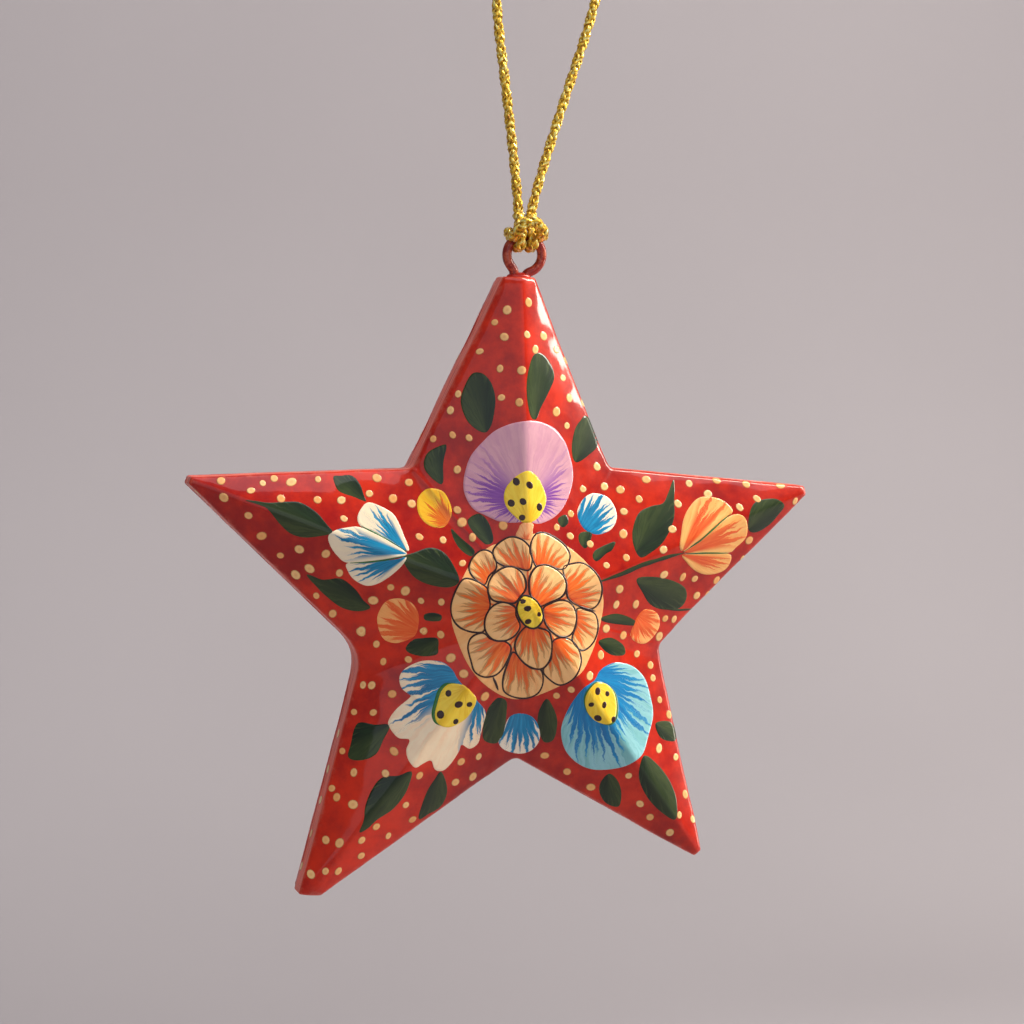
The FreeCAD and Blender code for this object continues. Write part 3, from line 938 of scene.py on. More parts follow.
leaves = {
    "outlines": [
        [(472, 373), (483, 373), (492, 383), (496, 398), (495, 412), (492, 425), (486, 433), (476, 430),
         (466, 420), (460, 402), (464, 386)],
        [(533, 355), (542, 353), (551, 363), (555, 377), (550, 391), (541, 409), (536, 420), (530, 416),
         (526, 395), (527, 374)],
        [(586, 415), (595, 425), (599, 443), (591, 454), (576, 463), (571, 450), (574, 430), (580, 420)],
        [(430, 450), (444, 444), (447, 447), (444, 463), (443, 484), (433, 480), (424, 469), (424, 458)],
        [(245, 500), (269, 502), (287, 501), (301, 502), (317, 512), (328, 525), (333, 533), (319, 537),
         (303, 538), (290, 534), (279, 524), (265, 508)],
        [(333, 476), (341, 475), (352, 475), (360, 483), (365, 497), (366, 502), (352, 497), (339, 492),
         (334, 484)],
        [(306, 574), (323, 579), (341, 578), (355, 588), (364, 600), (371, 608), (358, 612), (341, 608),
         (326, 597), (315, 586)],
        [(402, 558), (414, 552), (430, 547), (443, 551), (453, 563), (460, 581), (449, 588), (428, 585),
         (412, 576)],
        [(405, 648), (413, 639), (426, 637), (438, 638), (439, 648), (437, 655), (424, 657), (410, 654)],
        [(424, 614), (433, 612), (442, 615), (441, 621), (432, 622), (424, 620)],
        [(467, 520), (479, 513), (489, 522), (494, 540), (486, 545), (473, 533)],
        [(451, 528), (461, 537), (475, 550), (471, 557), (460, 550), (453, 539)],
        [(557, 519), (566, 514), (569, 523), (562, 528)],
        [(579, 533), (591, 531), (592, 538), (586, 549), (579, 543)],
        [(596, 549), (615, 541), (613, 550), (607, 554), (597, 562), (592, 557)],
        [(674, 479), (675, 501), (674, 521), (664, 542), (650, 554), (640, 558), (633, 546), (632, 530),
         (638, 513), (650, 506), (662, 503), (668, 493)],
        [(636, 579), (650, 576), (670, 579), (685, 587), (687, 599), (679, 609), (662, 610), (650, 605),
         (642, 593)],
        [(748, 530), (749, 513), (756, 501), (775, 498), (785, 505), (779, 515), (769, 526), (756, 533)],
        [(601, 617), (617, 613), (634, 619), (636, 626), (618, 625), (603, 622)],
        [(598, 641), (611, 637), (624, 645), (625, 655), (613, 656), (603, 650)],
        [(357, 723), (375, 724), (390, 725), (384, 740), (376, 755), (361, 761), (348, 758), (350, 744)],
        [(412, 771), (398, 775), (382, 777), (372, 788), (365, 805), (363, 821), (359, 833), (368, 829),
         (378, 820), (393, 810), (404, 797), (410, 784)],
        [(441, 771), (447, 783), (447, 796), (440, 808), (428, 815), (419, 820), (419, 812), (426, 792),
         (434, 779)],
        [(499, 697), (507, 701), (507, 716), (504, 735), (496, 744), (484, 741), (482, 730), (486, 712),
         (492, 702)],
        [(644, 755), (658, 764), (670, 780), (677, 799), (676, 820), (660, 812), (645, 795), (638, 775)],
        [(609, 773), (618, 780), (622, 793), (619, 807), (606, 804), (599, 793), (600, 782)],
        [(655, 723), (670, 721), (678, 733), (674, 742), (660, 738)],
        [(547, 698), (555, 710), (558, 723), (554, 740), (543, 742), (537, 724), (539, 709)]],
    "stems": [
        ([(599, 582), (622, 574), (642, 565), (671, 556), (684, 553)], 5.0),
        ([(666, 609), (680, 610), (693, 609)], 2.6)],
    "height": 0.00003,
    "stemHeight": 0.000039,
}
creamDots = {
    "top": [(528.6, 302.4), (507.1, 310), (494.7, 322.4), (504.3, 336.9), (527.1, 334.6), (543.6, 336),
        (535.4, 349.3), (556.4, 349.6), (479.7, 351.4), (500, 368.6), (521.7, 370.3), (568.3, 359.3),
        (562.9, 377.9), (458.1, 394), (501.4, 397.6), (519.3, 402.4), (569.3, 397.9), (582.9, 402.9),
        (556.4, 411.7), (566.9, 425.7), (450.4, 410.3), (452.6, 435), (469, 437.9), (433.2, 439),
        (457.3, 469.6), (596.9, 466.6)],
    "left": [(223.8, 497.5), (248.4, 515.5), (261.6, 535.9), (280.4, 555.5), (299.3, 549.3), (325.9, 553.8),
        (309.5, 568.6), (295.7, 574.8), (339.5, 573), (316.3, 595.7), (373.2, 600.4), (332.7, 613.6),
        (361.3, 630.7), (376.4, 644.1), (390.7, 587.3), (405.4, 590.9), (421, 600.8), (441.3, 602),
        (423.4, 630.7), (440.7, 634.6), (221, 480.7), (250.9, 490.5), (262.7, 483.2), (274.1, 478.4),
        (291.3, 482), (280.9, 498.6), (318, 479.3), (317.5, 499.8), (341.3, 500.2), (343.9, 518.6),
        (369.3, 493.6), (376.8, 478), (392.9, 498.6), (408.9, 482.5), (411.6, 503.8), (419.3, 536.8),
        (443, 540), (457.3, 510), (461.9, 522.4), (472.5, 537.3), (462.5, 563.2), (503.1, 525.5), (197, 492)],
    "right": [(582.9, 489), (604.3, 486.5), (620.2, 489.8), (646.2, 479.5), (639, 499.1), (623.8, 511.5),
        (623.2, 534), (677.8, 503.7), (689, 483.5), (716.5, 480.2), (746.1, 483.9), (780.4, 485.3),
        (756.9, 498.8), (739.6, 507.3), (707.8, 494.1), (672.2, 529.2), (663.5, 549.8), (626.3, 557.7),
        (606.4, 565.4), (590.1, 544), (570.7, 513.7), (556.7, 527.3), (570.3, 536), (664, 574.7),
        (682.8, 577), (694.7, 578.8), (716.5, 580.2), (696.7, 595.5), (709, 595.5), (749.2, 540.4),
        (743.1, 559), (795.1, 501.2), (619.6, 589.1), (616.2, 604.6), (635.8, 604.3), (665.1, 618.6),
        (674, 619.2), (606.1, 628.6), (623.4, 635.4), (659.2, 636.4), (636.8, 653.9), (600.8, 655)],
    "lowerLeft": [(360.8, 632), (383.3, 661.6), (408.4, 659.5), (424, 631), (450.8, 657.9), (463.7, 673.8),
        (371.7, 685.3), (392.2, 694), (373.3, 712.5), (394, 751.3), (353.8, 772.5), (385.5, 773.5),
        (419.5, 775.6), (461.1, 761.7), (478.7, 756.5), (455.4, 782.2), (472.9, 776.7), (484.9, 696.5),
        (336.7, 797.2), (353, 804.5), (405.8, 805), (412.5, 819.5), (376.3, 826.7), (388.3, 835.8),
        (325.8, 840), (339.5, 843), (361.7, 840.3), (361.2, 855.8), (310.8, 874.2), (325.5, 871.3),
        (338.3, 871.2), (331.7, 788.3), (320.6, 800), (311.2, 833.3), (363, 685), (354, 712), (338.5, 733.2),
        (342.3, 751), (328.0, 768.9), (301.3, 866)],
    "lowerRight": [(544.7, 755.5), (567.1, 771.6), (590.8, 787.1), (628.6, 775.7), (556.5, 695.7),
        (571.2, 689.6), (589.8, 675.9), (650.4, 665.1), (652.9, 678), (659.6, 699.8), (669.2, 714.5),
        (659, 748.3), (675.8, 757), (685.2, 794.2), (640, 803.8), (679.4, 815), (693.1, 819.2), (650, 817.1),
        (669.9, 832.5)],
    "radius": (0.00054, 0.00078),
    "height": 0.00004,
    "floor": 0.000015,
    "onBack": 150,
    "backFacing": 0.5,
    "backSpread": 0.02,
    "backSpacing": 0.0036,
    "tries": 6000,
}
flowerEyes = {
    "height": 0.00012,
    "shadeHeight": 0.00009,
    # the green under an eye, by how many pixels it looks out from under it
    "shades": [("daisyEye", (-3.5, -1.0)), ("rightEye", (-1.5, -1.0)), ("rightEye", (2.0, 1.0))],
    "dotRadius": 0.00056,
    "smallDotRadius": 0.00048,         # on the marigold
    "dotHeight": 0.00002,
}


# The order of these pieces is also the order of the random draws
film("marigoldDisc", marigold["discHeight"], (marigold["disc"], marigold["centre"]))
outerFilms, innerFilms, lineFilms = Films(), Films(), Films()
for films, outlines, height, floor in (
        (outerFilms, marigold["outer"], marigold["outerHeight"], marigold["discHeight"]),
        (innerFilms, marigold["inner"], marigold["innerHeight"], marigold["outerHeight"])):
    for outline in outlines:
        films.add(outline, height, back=marigold["petalBack"])
        lineFilms.line(smoothLoop(outline), marigold["lineWidth"], floor, height + marigold["lineRise"])
lineFilms.line(smoothLoop(marigold["eye"]), marigold["lineWidth"], marigold["innerHeight"],
               marigold["eyeHeight"] + marigold["lineRise"])
for mark in marigold["marks"]:
    lineFilms.line(smoothRoute(mark), marigold["markWidth"], marigold["discHeight"], marigold["innerHeight"],
                   closed=False)
outerFilms.made("marigoldOuterPetals")
innerFilms.made("marigoldInnerPetals")

film("pansyPetal", pansy["height"], (pansy["petal"], pansy["base"], pansy["towards"]))
film("pansyStalk", pansy["height"], (pansy["stalk"], pansy["stalkBase"]))
film("ivoryAndBlueFlowers", blueFlowers["height"], *blueFlowers["leftPetals"])
film("blueDaisy", blueFlowers["height"], [blueFlowers[key] for key in ("daisy", "daisyBase", "daisyAxis")])
film("blueFlower", blueFlowers["height"],
     [blueFlowers[key] for key in ("rightFlower", "rightBase", "rightAxis")])
film("orangePetals", orangeFlower["height"], *orangeFlower["petals"])
film("blueBuds", buds["height"], buds["blueTop"], buds["blueBottom"])
film("orangeBuds", buds["height"], buds["orangeLeft"], buds["orangeRight"])
film("yellowBud", buds["height"], buds["yellow"])

shadeFilms = Films()
for eye, (right, down) in flowerEyes["shades"]:
    shadeFilms.add([(x + right, y + down) for x, y in blueFlowers[eye]], flowerEyes["shadeHeight"])
for fold in petalFolds["lines"]:
    shadeFilms.line(smoothRoute(fold), petalFolds["width"], petalFolds["floor"], petalFolds["height"],
                    closed=False)
shadeFilms.made("greenShade")
eyeFilms = Films()
for outline, dots, height, radius in (
        (pansy["eye"], pansy["eyeDots"], flowerEyes["height"], flowerEyes["dotRadius"]),
        (blueFlowers["daisyEye"], blueFlowers["daisyDots"], flowerEyes["height"], flowerEyes["dotRadius"]),
        (blueFlowers["rightEye"], blueFlowers["rightDots"], flowerEyes["height"], flowerEyes["dotRadius"]),
        (marigold["eye"], marigold["eyeDots"], marigold["eyeHeight"], flowerEyes["smallDotRadius"])):
    eyeFilms.add(outline, height)
    for spot in dots:
        lineFilms.dot(*onTin(*spot), tinSurface, radius * random.uniform(*paint["dotSizes"]), height,
                      flowerEyes["dotHeight"])
eyeFilms.made("flowerCentres")
lineFilms.made("blackBrushLines")

leafFilms = Films()
for outline in leaves["outlines"]:
    leafFilms.add(outline, leaves["height"])
for stem, width in leaves["stems"]:
    leafFilms.line(smoothRoute(stem), width, paint["tuck"], leaves["stemHeight"], closed=False)
leafFilms.made("greenLeaves")

dotFilms = Films()
for group in ("top", "left", "right", "lowerLeft", "lowerRight"):
    for spot in creamDots[group]:
        dotFilms.dot(*onTin(*spot), tinSurface, random.uniform(*creamDots["radius"]), creamDots["floor"],
                     creamDots["height"])
places = []
tries = 0
while len(places) < creamDots["onBack"] and tries < creamDots["tries"]:
    tries += 1
    polygon = backTin.data.polygons[random.randrange(len(backTin.data.polygons))]
    if polygon.normal.y < creamDots["backFacing"]:
        continue
    spread = creamDots["backSpread"]
    shift = Vector((random.uniform(-spread, spread), mm, random.uniform(-spread, spread)))
    place, normal, face, distance = backSurface.find_nearest(polygon.center + shift)
    isFree = all((place - other).length > creamDots["backSpacing"] for other in places)
    if isFree and normal.y > creamDots["backFacing"]:
        places.append(place)
        dotFilms.dot(place, normal, backSurface, random.uniform(*creamDots["radius"]), 0.0,
                     creamDots["height"])
dotFilms.made("creamDots")
print("painted films made, dots on the back:", len(places))


# Materials: everything is read in Object coordinates or from the pieces' own attributes
class Nodes:
    # the nodes of one tree, each made with a short word
    def __init__(self, tree):
        self.tree = tree

    def give(self, socket, value):
        if isinstance(value, bpy.types.NodeSocket):
            self.tree.links.new(value, socket)
        else:
            socket.default_value = value

    def put(self, kind, inputs=None, **settings):
        made = self.tree.nodes.new("ShaderNode" + kind)
        for key, value in settings.items():
            setattr(made, key, value)
        for socket, value in (inputs or {}).items():
            self.give(made.inputs[socket], value)
        return made.outputs

    def calc(self, operation, a, b=0.0, c=0.0):
        return self.put("Math", {0: a, 1: b, 2: c}, operation=operation)[0]

    def plus(self, a, b):
        return self.calc("ADD", a, b)

    def minus(self, a, b):
        return self.calc("SUBTRACT", a, b)

    def times(self, a, b):
        return self.calc("MULTIPLY", a, b)

    def timesPlus(self, a, b, c):
        return self.calc("MULTIPLY_ADD", a, b, c)

    def smooth(self, value, low, high, start=0.0, end=1.0):
        return self.put("MapRange", {"Value": value, "From Min": low, "From Max": high, "To Min": start,
                                     "To Max": end}, interpolation_type="SMOOTHSTEP")["Result"]

    def mixed(self, share, a, b):
        return self.put("Mix", {0: share, 6: a, 7: b}, data_type="RGBA")[2]

    def grain(self, vector, scale, detail=3.0, roughness=0.55):
        return self.put("TexNoise", {"Vector": vector, "Scale": scale, "Detail": detail,
                                     "Roughness": roughness})["Fac"]

    def grains(self, vector, *layers):
        # two grains on each other; a layer is its scale, its share and the noise's other settings
        return self.plus(*[self.times(self.grain(vector, scale, *others), share)
                           for scale, share, *others in layers])

    def vector(self, x, y, z):
        return self.put("CombineXYZ", {0: x, 1: y, 2: z})[0]

    def place(self):
        return self.put("TexCoord")["Object"]

    def own(self, name, output="Fac"):
        return self.put("Attribute", attribute_name=name)[output]

    def parts(self, name):
        return self.put("SeparateXYZ", {0: self.own(name, "Vector")})

    def bump(self, height, strength, distance):
        return self.put("Bump", {"Strength": strength, "Distance": distance, "Height": height})["Normal"]

    def group(self, nodes, inputs):
        return self.put("Group", inputs, node_tree=nodes.tree)


def newGroup(name, inputs, outputs):
    # its nodes, what it is given and what it gives; an input is a number, or a colour if it's a tuple
    tree = bpy.data.node_groups.new(name, "ShaderNodeTree")
    for label, value in inputs.items():
        kind = "NodeSocketColor" if isinstance(value, tuple) else "NodeSocketFloat"
        tree.interface.new_socket(label, in_out="INPUT", socket_type=kind).default_value = value
    for label, kind in outputs.items():
        tree.interface.new_socket(label, in_out="OUTPUT", socket_type="NodeSocket" + kind)
    return Nodes(tree), tree.nodes.new("NodeGroupInput").outputs, tree.nodes.new("NodeGroupOutput").inputs


# A comb of tapering brush strokes that starts from a petal's base
combLook = {
    "swayGrain": 420.0,
    "sway": 0.16,
    "layers": [(1.0, 1.0, 17.0), (1.6, 0.8, 5.0)],     # how often teeth come, their reach, a shift
    "chanceShift": 31.0,
    "taper": 0.85,
    "streaks": (2.2, 2.0, 40.0),                       # across the strokes, along them, from petal to petal
}
brushComb, given, result = newGroup(
    "brushComb", {"Teeth": 8.0, "Reach": 0.6, "Raggedness": 0.5, "Softness": 0.05},
    {"Comb": "Float", "Streak": "Float"})
stroke = brushComb.parts("stroke")
sway = brushComb.timesPlus(brushComb.grain(brushComb.place(), combLook["swayGrain"]), combLook["sway"],
                           -combLook["sway"] / 2)
across = brushComb.plus(stroke["Y"], sway)
combs = []
for often, shorter, shift in combLook["layers"]:
    lane = brushComb.timesPlus(across, brushComb.times(given["Teeth"], often),
                               brushComb.times(stroke["Z"], shift))
    cell = brushComb.calc("FLOOR", lane)
    offMiddle = brushComb.calc("ABSOLUTE", brushComb.minus(brushComb.calc("FRACT", lane), 0.5))
    chance = brushComb.put("TexWhiteNoise", {"W": brushComb.timesPlus(
        stroke["Z"], combLook["chanceShift"], cell)}, noise_dimensions="1D")["Value"]
    length = brushComb.times(brushComb.times(given["Reach"], shorter),
                             brushComb.minus(1.0, brushComb.times(given["Raggedness"], chance)))
    tooth = brushComb.times(length, brushComb.minus(1.0, brushComb.times(offMiddle, combLook["taper"])))
    over = brushComb.minus(tooth, stroke["X"])
    combs.append(brushComb.smooth(over, brushComb.times(given["Softness"], -1.0), given["Softness"]))
brushComb.give(result["Comb"], brushComb.calc("MAXIMUM", *combs))
wide, long, other = combLook["streaks"]
laneVector = brushComb.vector(brushComb.times(across, brushComb.times(given["Teeth"], wide)),
                              brushComb.times(stroke["X"], long), brushComb.times(stroke["Z"], other))
brushComb.give(result["Streak"], brushComb.grain(laneVector, 1.0))

# Varnish over everything: a little mottling, uneven gloss and a fine ripple
varnishLook = {
    "grains": [(110.0, 0.65), (700.0, 0.35, 4.0, 0.65)],
    "mottle": 3.0,
    "dullGrain": 260.0,
    "dullSpread": 0.22,
    "dullShift": 0.08,
    "rippleGrain": 330.0,
    "ripple": 0.8,
    "bump": (0.35, 0.00022),           # strength, distance
    "gloss": {"Coat Weight": 0.6, "Coat Roughness": 0.045, "Specular IOR Level": 0.15, "Coat IOR": 1.5},
}
varnish, given, result = newGroup(
    "varnish", {"Colour": (0.5, 0.5, 0.5, 1.0), "Mottle": 0.2, "Dull": 0.3, "Relief": 0.0},
    {"Colour": "Color", "Roughness": "Float", "Normal": "Vector"})
where = varnish.place()
mottle = varnish.minus(varnish.grains(where, *varnishLook["grains"]), 0.5)
tone = varnish.timesPlus(mottle, varnish.times(given["Mottle"], varnishLook["mottle"]), 1.0)
varnish.give(result["Colour"], varnish.put("VectorMath", {0: given["Colour"], "Scale": tone},
                                           operation="SCALE")[0])
varnish.give(result["Roughness"], varnish.timesPlus(
    varnish.grain(where, varnishLook["dullGrain"]), varnishLook["dullSpread"],
    varnish.minus(given["Dull"], varnishLook["dullShift"])))
ripple = varnish.plus(varnish.times(varnish.grain(where, varnishLook["rippleGrain"], 2.0),
                                    varnishLook["ripple"]), given["Relief"])
varnish.give(result["Normal"], varnish.bump(ripple, *varnishLook["bump"]))


def newMaterial(name, *pieces):
    # on these pieces, in place of what they had; gives its nodes and the surface's inputs
    made = bpy.data.materials.new(name)
    made.use_nodes = True
    for piece in pieces:
        piece.data.materials.clear()
        piece.data.materials.append(made)
    return Nodes(made.node_tree), made.node_tree.nodes["Principled BSDF"].inputs


def finished(nodes, surface, colour, look, relief=0.0):
    sealed = nodes.group(varnish, {"Colour": colour, "Mottle": look["mottle"], "Dull": look["dull"],
                                   "Relief": relief})
    for label, output in (("Base Color", "Colour"), ("Roughness", "Roughness"), ("Normal", "Normal")):
        nodes.give(surface[label], sealed[output])
    for label, value in varnishLook["gloss"].items():
        surface[label].default_value = value


petalLook = {
    "groundStreak": (0.35, 0.7),       # between its two tones
    "strokeStreak": (0.3, 0.75),
    "tipReach": 1.2,
    "tipSoftness": 0.03,
    "heart": (0.8, 0.5, 0.12),         # of the teeth, raggedness, softness
    "heartStrength": 0.85,
    "relief": 0.35,
    "mottle": 0.12,
    "dull": 0.36,
}


def petalPaint(name, on, tones, comb, tips=None, tipStrength=0.8, sidesOnly=None, oneSide=None,
               middleOnly=None, deep=None, deepReach=0.5, **own):
    nodes, surface = newMaterial(name, *[painted[piece] for piece in on])
    ground, groundToo, tint, tintToo = [srgb(*tone) for tone in tones]
    teeth, reach, ragged, soft = comb

    def combOf(teeth, reach, ragged, soft):
        return nodes.group(brushComb, {"Teeth": teeth, "Reach": reach, "Raggedness": ragged,
                                       "Softness": soft})

    main = combOf(teeth, reach, ragged, soft)
    strokes, streak = main["Comb"], main["Streak"]
    ground = nodes.mixed(nodes.smooth(streak, *petalLook["groundStreak"]), ground, groundToo)
    if tips:
        tipComb = combOf(teeth, reach * petalLook["tipReach"], ragged, petalLook["tipSoftness"])["Comb"]
        ground = nodes.mixed(nodes.times(tipComb, tipStrength), ground, srgb(*tips))
    # strokes may fade out round the far end, keep to the brush's darker side or to the petal's middle
    for bounds, bothSides, start in ((sidesOnly, True, 0.0), (oneSide, False, 0.0), (middleOnly, True, 1.0)):
        if bounds:
            side = nodes.parts("stroke")["Y"]
            if bothSides:
                side = nodes.calc("ABSOLUTE", side)
            strokes = nodes.times(strokes, nodes.smooth(side, *bounds, start, 1.0 - start))
    stroke = nodes.mixed(nodes.smooth(streak, *petalLook["strokeStreak"]), tint, tintToo)
    colour = nodes.mixed(strokes, ground, stroke)
    if deep:
        fewer, ragged, soft = petalLook["heart"]
        heart = combOf(teeth * fewer, deepReach, ragged, soft)["Comb"]
        colour = nodes.mixed(nodes.times(heart, petalLook["heartStrength"]), colour, srgb(*deep))
    finished(nodes, surface, colour, {**petalLook, **own},
             nodes.times(nodes.plus(strokes, streak), petalLook["relief"]))


# On which pieces; two tones of the ground and two of the strokes; the strokes' teeth, reach,
# raggedness and softness
petalLooks = {
    "peachDisc": {
        "on": ["marigoldDisc"], "comb": (9.0, 0.7, 0.4, 0.05),
        "tones": [(250, 190, 122), (246, 176, 108), (226, 84, 28), (236, 110, 44)]},
    "marigoldPetals": {
        "on": ["marigoldOuterPetals", "marigoldInnerPetals"], "comb": (5.4, 0.98, 0.34, 0.05),
        "tones": [(252, 198, 132), (248, 184, 116), (228, 88, 24), (242, 122, 46)],
        "tips": (158, 98, 34), "tipStrength": 0.6, "deep": (214, 56, 12)},
    "lilacPetal": {
        "on": ["pansyPetal"], "comb": (8.0, 1.08, 0.38, 0.05), "sidesOnly": (0.35, 1.25),
        "tones": [(214, 160, 172), (203, 146, 166), (122, 58, 150), (146, 84, 166)]},
    "peachStalk": {
        "on": ["pansyStalk"], "comb": (6.0, 0.6, 0.5, 0.1),
        "tones": [(244, 178, 118), (236, 150, 92), (222, 90, 40), (230, 120, 60)]},
    "ivoryAndBlue": {
        "on": ["ivoryAndBlueFlowers"], "comb": (9.0, 1.08, 0.4, 0.05), "middleOnly": (0.18, 0.34),
        "tones": [(250, 232, 196), (244, 226, 196), (6, 112, 156), (24, 150, 192)]},
    "blueDaisy": {
        "on": ["blueDaisy"], "comb": (9.0, 1.2, 0.34, 0.05), "sidesOnly": (0.20, 0.42),
        "tones": [(254, 232, 196), (252, 218, 178), (6, 104, 150), (24, 148, 192)]},
    "blueBuds": {
        "on": ["blueBuds"], "comb": (7.0, 1.25, 0.3, 0.05),
        "tones": [(252, 236, 208), (240, 232, 214), (6, 112, 158), (24, 150, 196)]},
    "eyeShade": {
        "on": ["greenShade"], "comb": (5.0, 0.5, 0.5, 0.2),
        "tones": [(40, 104, 46), (64, 120, 50), (30, 84, 60), (40, 100, 60)]},
    "lightBlue": {
        "on": ["blueFlower"], "comb": (9.0, 1.04, 0.34, 0.05),
        "tones": [(150, 206, 212), (120, 184, 186), (6, 112, 172), (10, 140, 196)]},
    "orangePetals": {
        "on": ["orangePetals"], "comb": (8.0, 1.15, 0.4, 0.06), "middleOnly": (0.14, 0.30),
        "tones": [(252, 190, 110), (248, 170, 92), (226, 78, 30), (238, 112, 50)]},
    "orangeBuds": {
        "on": ["orangeBuds"], "comb": (6.0, 1.3, 0.42, 0.07),
        "tones": [(255, 182, 108), (250, 166, 92), (236, 84, 24), (242, 118, 52)]},
    "yellowBud": {
        "on": ["yellowBud"], "comb": (7.0, 0.95, 0.45, 0.07),
        "tones": [(250, 196, 44), (246, 178, 34), (226, 98, 24), (236, 128, 30)]},
    "flowerCentres": {
        "on": ["flowerCentres"], "comb": (5.0, 0.5, 0.6, 0.15),
        "tones": [(248, 214, 62), (240, 196, 40), (224, 172, 26), (236, 196, 36)]},
    "leafGreen": {
        "on": ["greenLeaves"], "comb": (7.0, 1.5, 0.35, 0.1), "oneSide": (-0.30, 0.34),
        "tones": [(58, 72, 32), (40, 56, 24), (10, 30, 10), (24, 46, 18)], "mottle": 0.3, "dull": 0.42},
}
for name, look in petalLooks.items():
    petalPaint(name, **look)

# Cream drops: each a little different, thicker and darker at the sunken middle and the rim
dropLook = {
    "cream": (srgb(240, 170, 96), srgb(250, 204, 136)),
    "rim": (0.74, 0.96, 0.8, srgb(150, 66, 24)),           # from, to, share, colour
    "sunken": (0.45, 0.2, 0.3, srgb(222, 132, 70)),
    "mottle": 0.15,
    "dull": 0.34,
}
nodes, surface = newMaterial("creamDrops", painted["creamDots"])
drop = nodes.parts("stroke")
tint = nodes.mixed(drop["Z"], *dropLook["cream"])
for start, end, share, colour in (dropLook["rim"], dropLook["sunken"]):
    tint = nodes.mixed(nodes.times(nodes.smooth(drop["X"], start, end), share), tint, colour)
finished(nodes, surface, tint, dropLook)

lineLook = {
    "grain": 900.0,
    "black": (srgb(24, 10, 10), srgb(58, 22, 16)),
    "mottle": 0.2,
    "dull": 0.34,
}
nodes, surface = newMaterial("blackBrush", painted["blackBrushLines"])
finished(nodes, surface, nodes.mixed(nodes.grain(nodes.place(), lineLook["grain"]), *lineLook["black"]),
         lineLook)

# Red lacquer, brushed over the tin: on the walls, pinkish streaks of thin paint with a painted sheen over
# them; lighter and pinkish along the rim folds
redLook = {
    "deep": srgb(154, 6, 2),
    "bright": srgb(214, 42, 4),
    "clouds": [(46.0, 0.6), (300.0, 0.4, 5.0, 0.65)],
    "cloudTones": (0.36, 0.64),
    "stretch": (0.35, 6.0, 0.35),      # of the streaks that the brush left across the walls
    "streakGrain": 420.0,
    # the walls' pinkish streaks: thin paint, brightened further as a painted sheen
    "wallThinAndSheen": srgb(252, 106, 76),
    "wallStreaks": (0.30, 0.56),
    "wallShare": 0.9,
    "wallRelief": 1.2,
    # the lighter, pinkish tone along the rim folds
    "foldTone": srgb(206, 96, 76),
    "foldPatchGrain": 520.0,
    "foldPatches": (0.48, 0.66),
    "foldPatchShare": 0.75,
    "mottle": 0.18,
    "dull": 0.30,
    "coat": 0.62,
    "wallCoatLess": 0.5,
}
nodes, surface = newMaterial("redLacquer", frontTin, backTin, seam, collar)
where = nodes.place()
cloud = nodes.smooth(nodes.grains(where, *redLook["clouds"]), *redLook["cloudTones"])
ground = nodes.mixed(cloud, redLook["deep"], redLook["bright"])
stretched = nodes.put("Mapping", {"Vector": where, "Scale": redLook["stretch"]})[0]
streaks = nodes.grain(stretched, redLook["streakGrain"], 4.0, 0.6)
wall = nodes.own("wall")
# walls: pinkish streaks painted on, partly thin paint and partly a painted sheen standing in for the light
# that the walls reflect
wallThinAndSheenMask = nodes.times(wall, nodes.smooth(streaks, *redLook["wallStreaks"]))
ground = nodes.mixed(nodes.times(wallThinAndSheenMask, redLook["wallShare"]), ground, redLook["wallThinAndSheen"])
fold = nodes.own("fold")
# lighter, pinkish patches of lacquer along the rim folds
foldPatches = nodes.smooth(nodes.grain(where, redLook["foldPatchGrain"], 4.0, 0.7), *redLook["foldPatches"])
ground = nodes.mixed(nodes.times(nodes.times(fold, foldPatches), redLook["foldPatchShare"]), ground, redLook["foldTone"])
finished(nodes, surface, ground, redLook, nodes.times(streaks, nodes.times(wall, redLook["wallRelief"])))
nodes.give(surface["Coat Weight"], nodes.timesPlus(wall, -redLook["wallCoatLess"], redLook["coat"]))

# Wire: the same lacquer, darker, chipped to brown on its outside
wireLook = {
    "grain": 640.0,
    "chips": (0.50, 0.62),
    "tones": (srgb(142, 34, 20), srgb(186, 84, 56)),
    "mottle": 0.3,
    "dull": 0.30,
    "relief": 0.3,
}
nodes, surface = newMaterial("wireLacquer", *[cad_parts[node] for node in ("hanger_eye", "eye_solder")])
chips = nodes.smooth(nodes.grain(nodes.place(), wireLook["grain"], 4.0, 0.7), *wireLook["chips"])
finished(nodes, surface, nodes.mixed(chips, *wireLook["tones"]), wireLook,
         nodes.times(chips, wireLook["relief"]))

# Gold braid: gold foil threads, with bronze and pale flecks painted in as the shade and glints that the
# twisting foil catches
goldLook = {
    "flecks": (1500.0, 4.0, 3.7),      # along a yarn, round it, from yarn to yarn
    "threads": 5200.0,
    "threadTone": 0.12,
    "bronze": srgb(156, 104, 18),
    "gold": srgb(238, 190, 48),
    # pale flecks: painted glints of the foil
    "glintPale": srgb(255, 244, 150),
    "toGold": (0.30, 0.48),
    "toGlintPale": (0.52, 0.68),
    "metallic": 0.45,
    "dull": (0.3, 0.7, 0.42, 0.22),    # between these flecks, from and to
    "bump": (0.5, 0.00006),            # strength, distance
}
nodes, surface = newMaterial("goldBraid", hangingLoop, hitch, knot)
yarn = nodes.parts("yarnPlace")
along, around, other = goldLook["flecks"]
yarnTurn = nodes.times(yarn["Z"], other)
foil = nodes.vector(nodes.times(yarn["X"], along), nodes.times(yarn["Y"], around), yarnTurn)
flecks = nodes.grain(foil, 1.0, 2.0, 0.5)
thread = nodes.calc("SINE", nodes.plus(nodes.times(yarn["X"], goldLook["threads"]),
                                       nodes.times(yarn["Y"], math.tau * 2)))
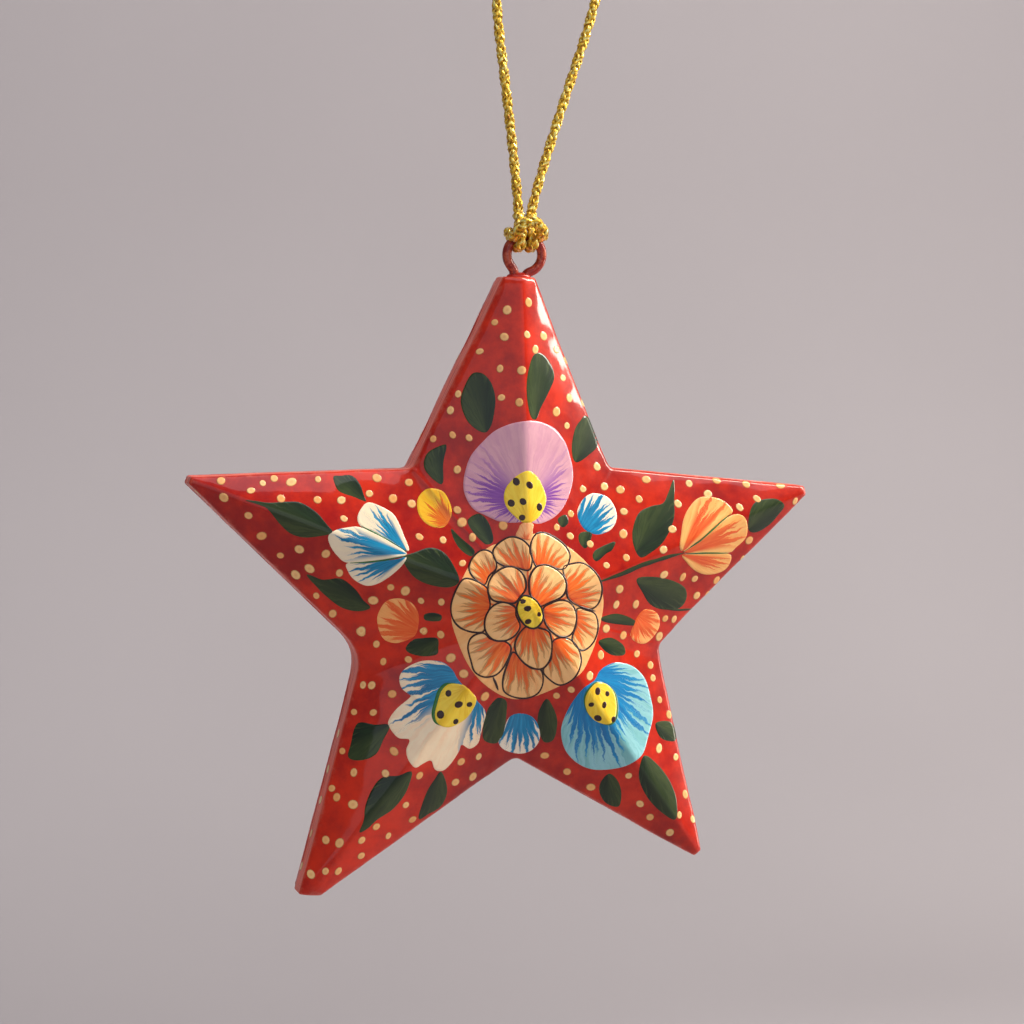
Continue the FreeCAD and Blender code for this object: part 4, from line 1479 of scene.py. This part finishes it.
tone = nodes.plus(flecks, nodes.times(thread, goldLook["threadTone"]))
# bronze to gold to pale: painted shade and glints over the foil's own gold
gold = nodes.mixed(nodes.smooth(tone, *goldLook["toGold"]), goldLook["bronze"], goldLook["gold"])
gold = nodes.mixed(nodes.smooth(tone, *goldLook["toGlintPale"]), gold, goldLook["glintPale"])
nodes.give(surface["Base Color"], gold)
surface["Metallic"].default_value = goldLook["metallic"]
nodes.give(surface["Roughness"], nodes.smooth(flecks, *goldLook["dull"]))
nodes.give(surface["Normal"], nodes.bump(thread, *goldLook["bump"]))
print("materials made")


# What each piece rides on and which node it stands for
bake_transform(hangingLoop)
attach(hitch, "hitch")
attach(knot, "loop")
for piece in (frontTin, backTin, seam, collar, *painted.values()):
    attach(piece, "star")
for piece, node in ((hangingLoop, "hanging_loop"), (hitch, "cord_hitch"), (knot, "loop_knot"),
                    (frontTin, "front_shell"), (backTin, "back_shell"), (seam, "seam_solder")):
    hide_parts(node)
evenly(loopLine, 0.001)


# Stage: a pale grey sweep of paper, lit by a soft window from the upper right
stage = {
    "floor": -0.300,
    "back": 0.75,
    "sweep": 0.30,
    "sweepRows": 16,
    "width": 3.0,
    "front": -1.6,
    "height": 1.6,
    "paperGrain": 3.0,
    "paper": (srgb(158, 153, 157), srgb(174, 169, 173)),
    "dull": 0.9,
    "room": srgb(236, 236, 240),
    "roomStrength": 0.26,
}
profile = [(stage["front"], stage["floor"])]
for k in range(stage["sweepRows"] + 1):
    angle = math.pi / 2 * k / stage["sweepRows"]
    profile.append((stage["back"] - stage["sweep"] * (1 - math.sin(angle)),
                    stage["floor"] + stage["sweep"] * (1 - math.cos(angle))))
profile.append((stage["back"], stage["height"]))
paper = meshObject("paperSweep", [(x, y, z) for y, z in profile for x in (-stage["width"], stage["width"])],
                   [(2 * k, 2 * k + 1, 2 * k + 3, 2 * k + 2) for k in range(len(profile) - 1)])
nodes, surface = newMaterial("paperGrey", paper)
nodes.give(surface["Base Color"], nodes.mixed(nodes.grain(nodes.place(), stage["paperGrain"], 2.0),
                                              *stage["paper"]))
surface["Roughness"].default_value = stage["dull"]

world = bpy.data.worlds.new("roomLight")
bpy.context.scene.world = world
world.use_nodes = True
background = world.node_tree.nodes["Background"].inputs
background["Color"].default_value = stage["room"]
background["Strength"].default_value = stage["roomStrength"]

lamps = {
    "window": {"azimuth": 76, "elevation": 41, "distance": 0.9, "size": (0.15, 0.8), "power": 12.5,
               "colour": srgb(255, 246, 232)[:3]},
    "ceiling": {"azimuth": 15, "elevation": 74, "distance": 1.1, "size": (0.9, 0.9), "power": 5.0,
                "colour": srgb(244, 246, 255)[:3]},
    "sideStrip": {"azimuth": 90, "elevation": 4, "distance": 0.9, "size": (0.12, 0.5), "power": 3.0,
                  "colour": srgb(255, 246, 232)[:3]},
    "fill": {"azimuth": -6, "elevation": 2, "distance": 1.7, "size": (2.2, 2.2), "power": 10.5,
                 "colour": srgb(240, 242, 255)[:3]},
}
for name, lamp in lamps.items():
    azimuth, elevation = math.radians(lamp["azimuth"]), math.radians(lamp["elevation"])
    way = Vector((math.sin(azimuth) * math.cos(elevation), -math.cos(azimuth) * math.cos(elevation),
                  math.sin(elevation)))
    bpy.ops.object.light_add(type="AREA", location=starMiddle + way * lamp["distance"])
    light = bpy.context.object
    light.name = name
    light.rotation_euler = way.to_track_quat("Z", "Y").to_euler()
    light.data.shape = "RECTANGLE"
    light.data.size, light.data.size_y = lamp["size"]
    light.data.energy = lamp["power"]
    light.data.color = lamp["colour"]
bpy.context.scene.view_settings.view_transform = "Standard"
print("stage and lamps set")
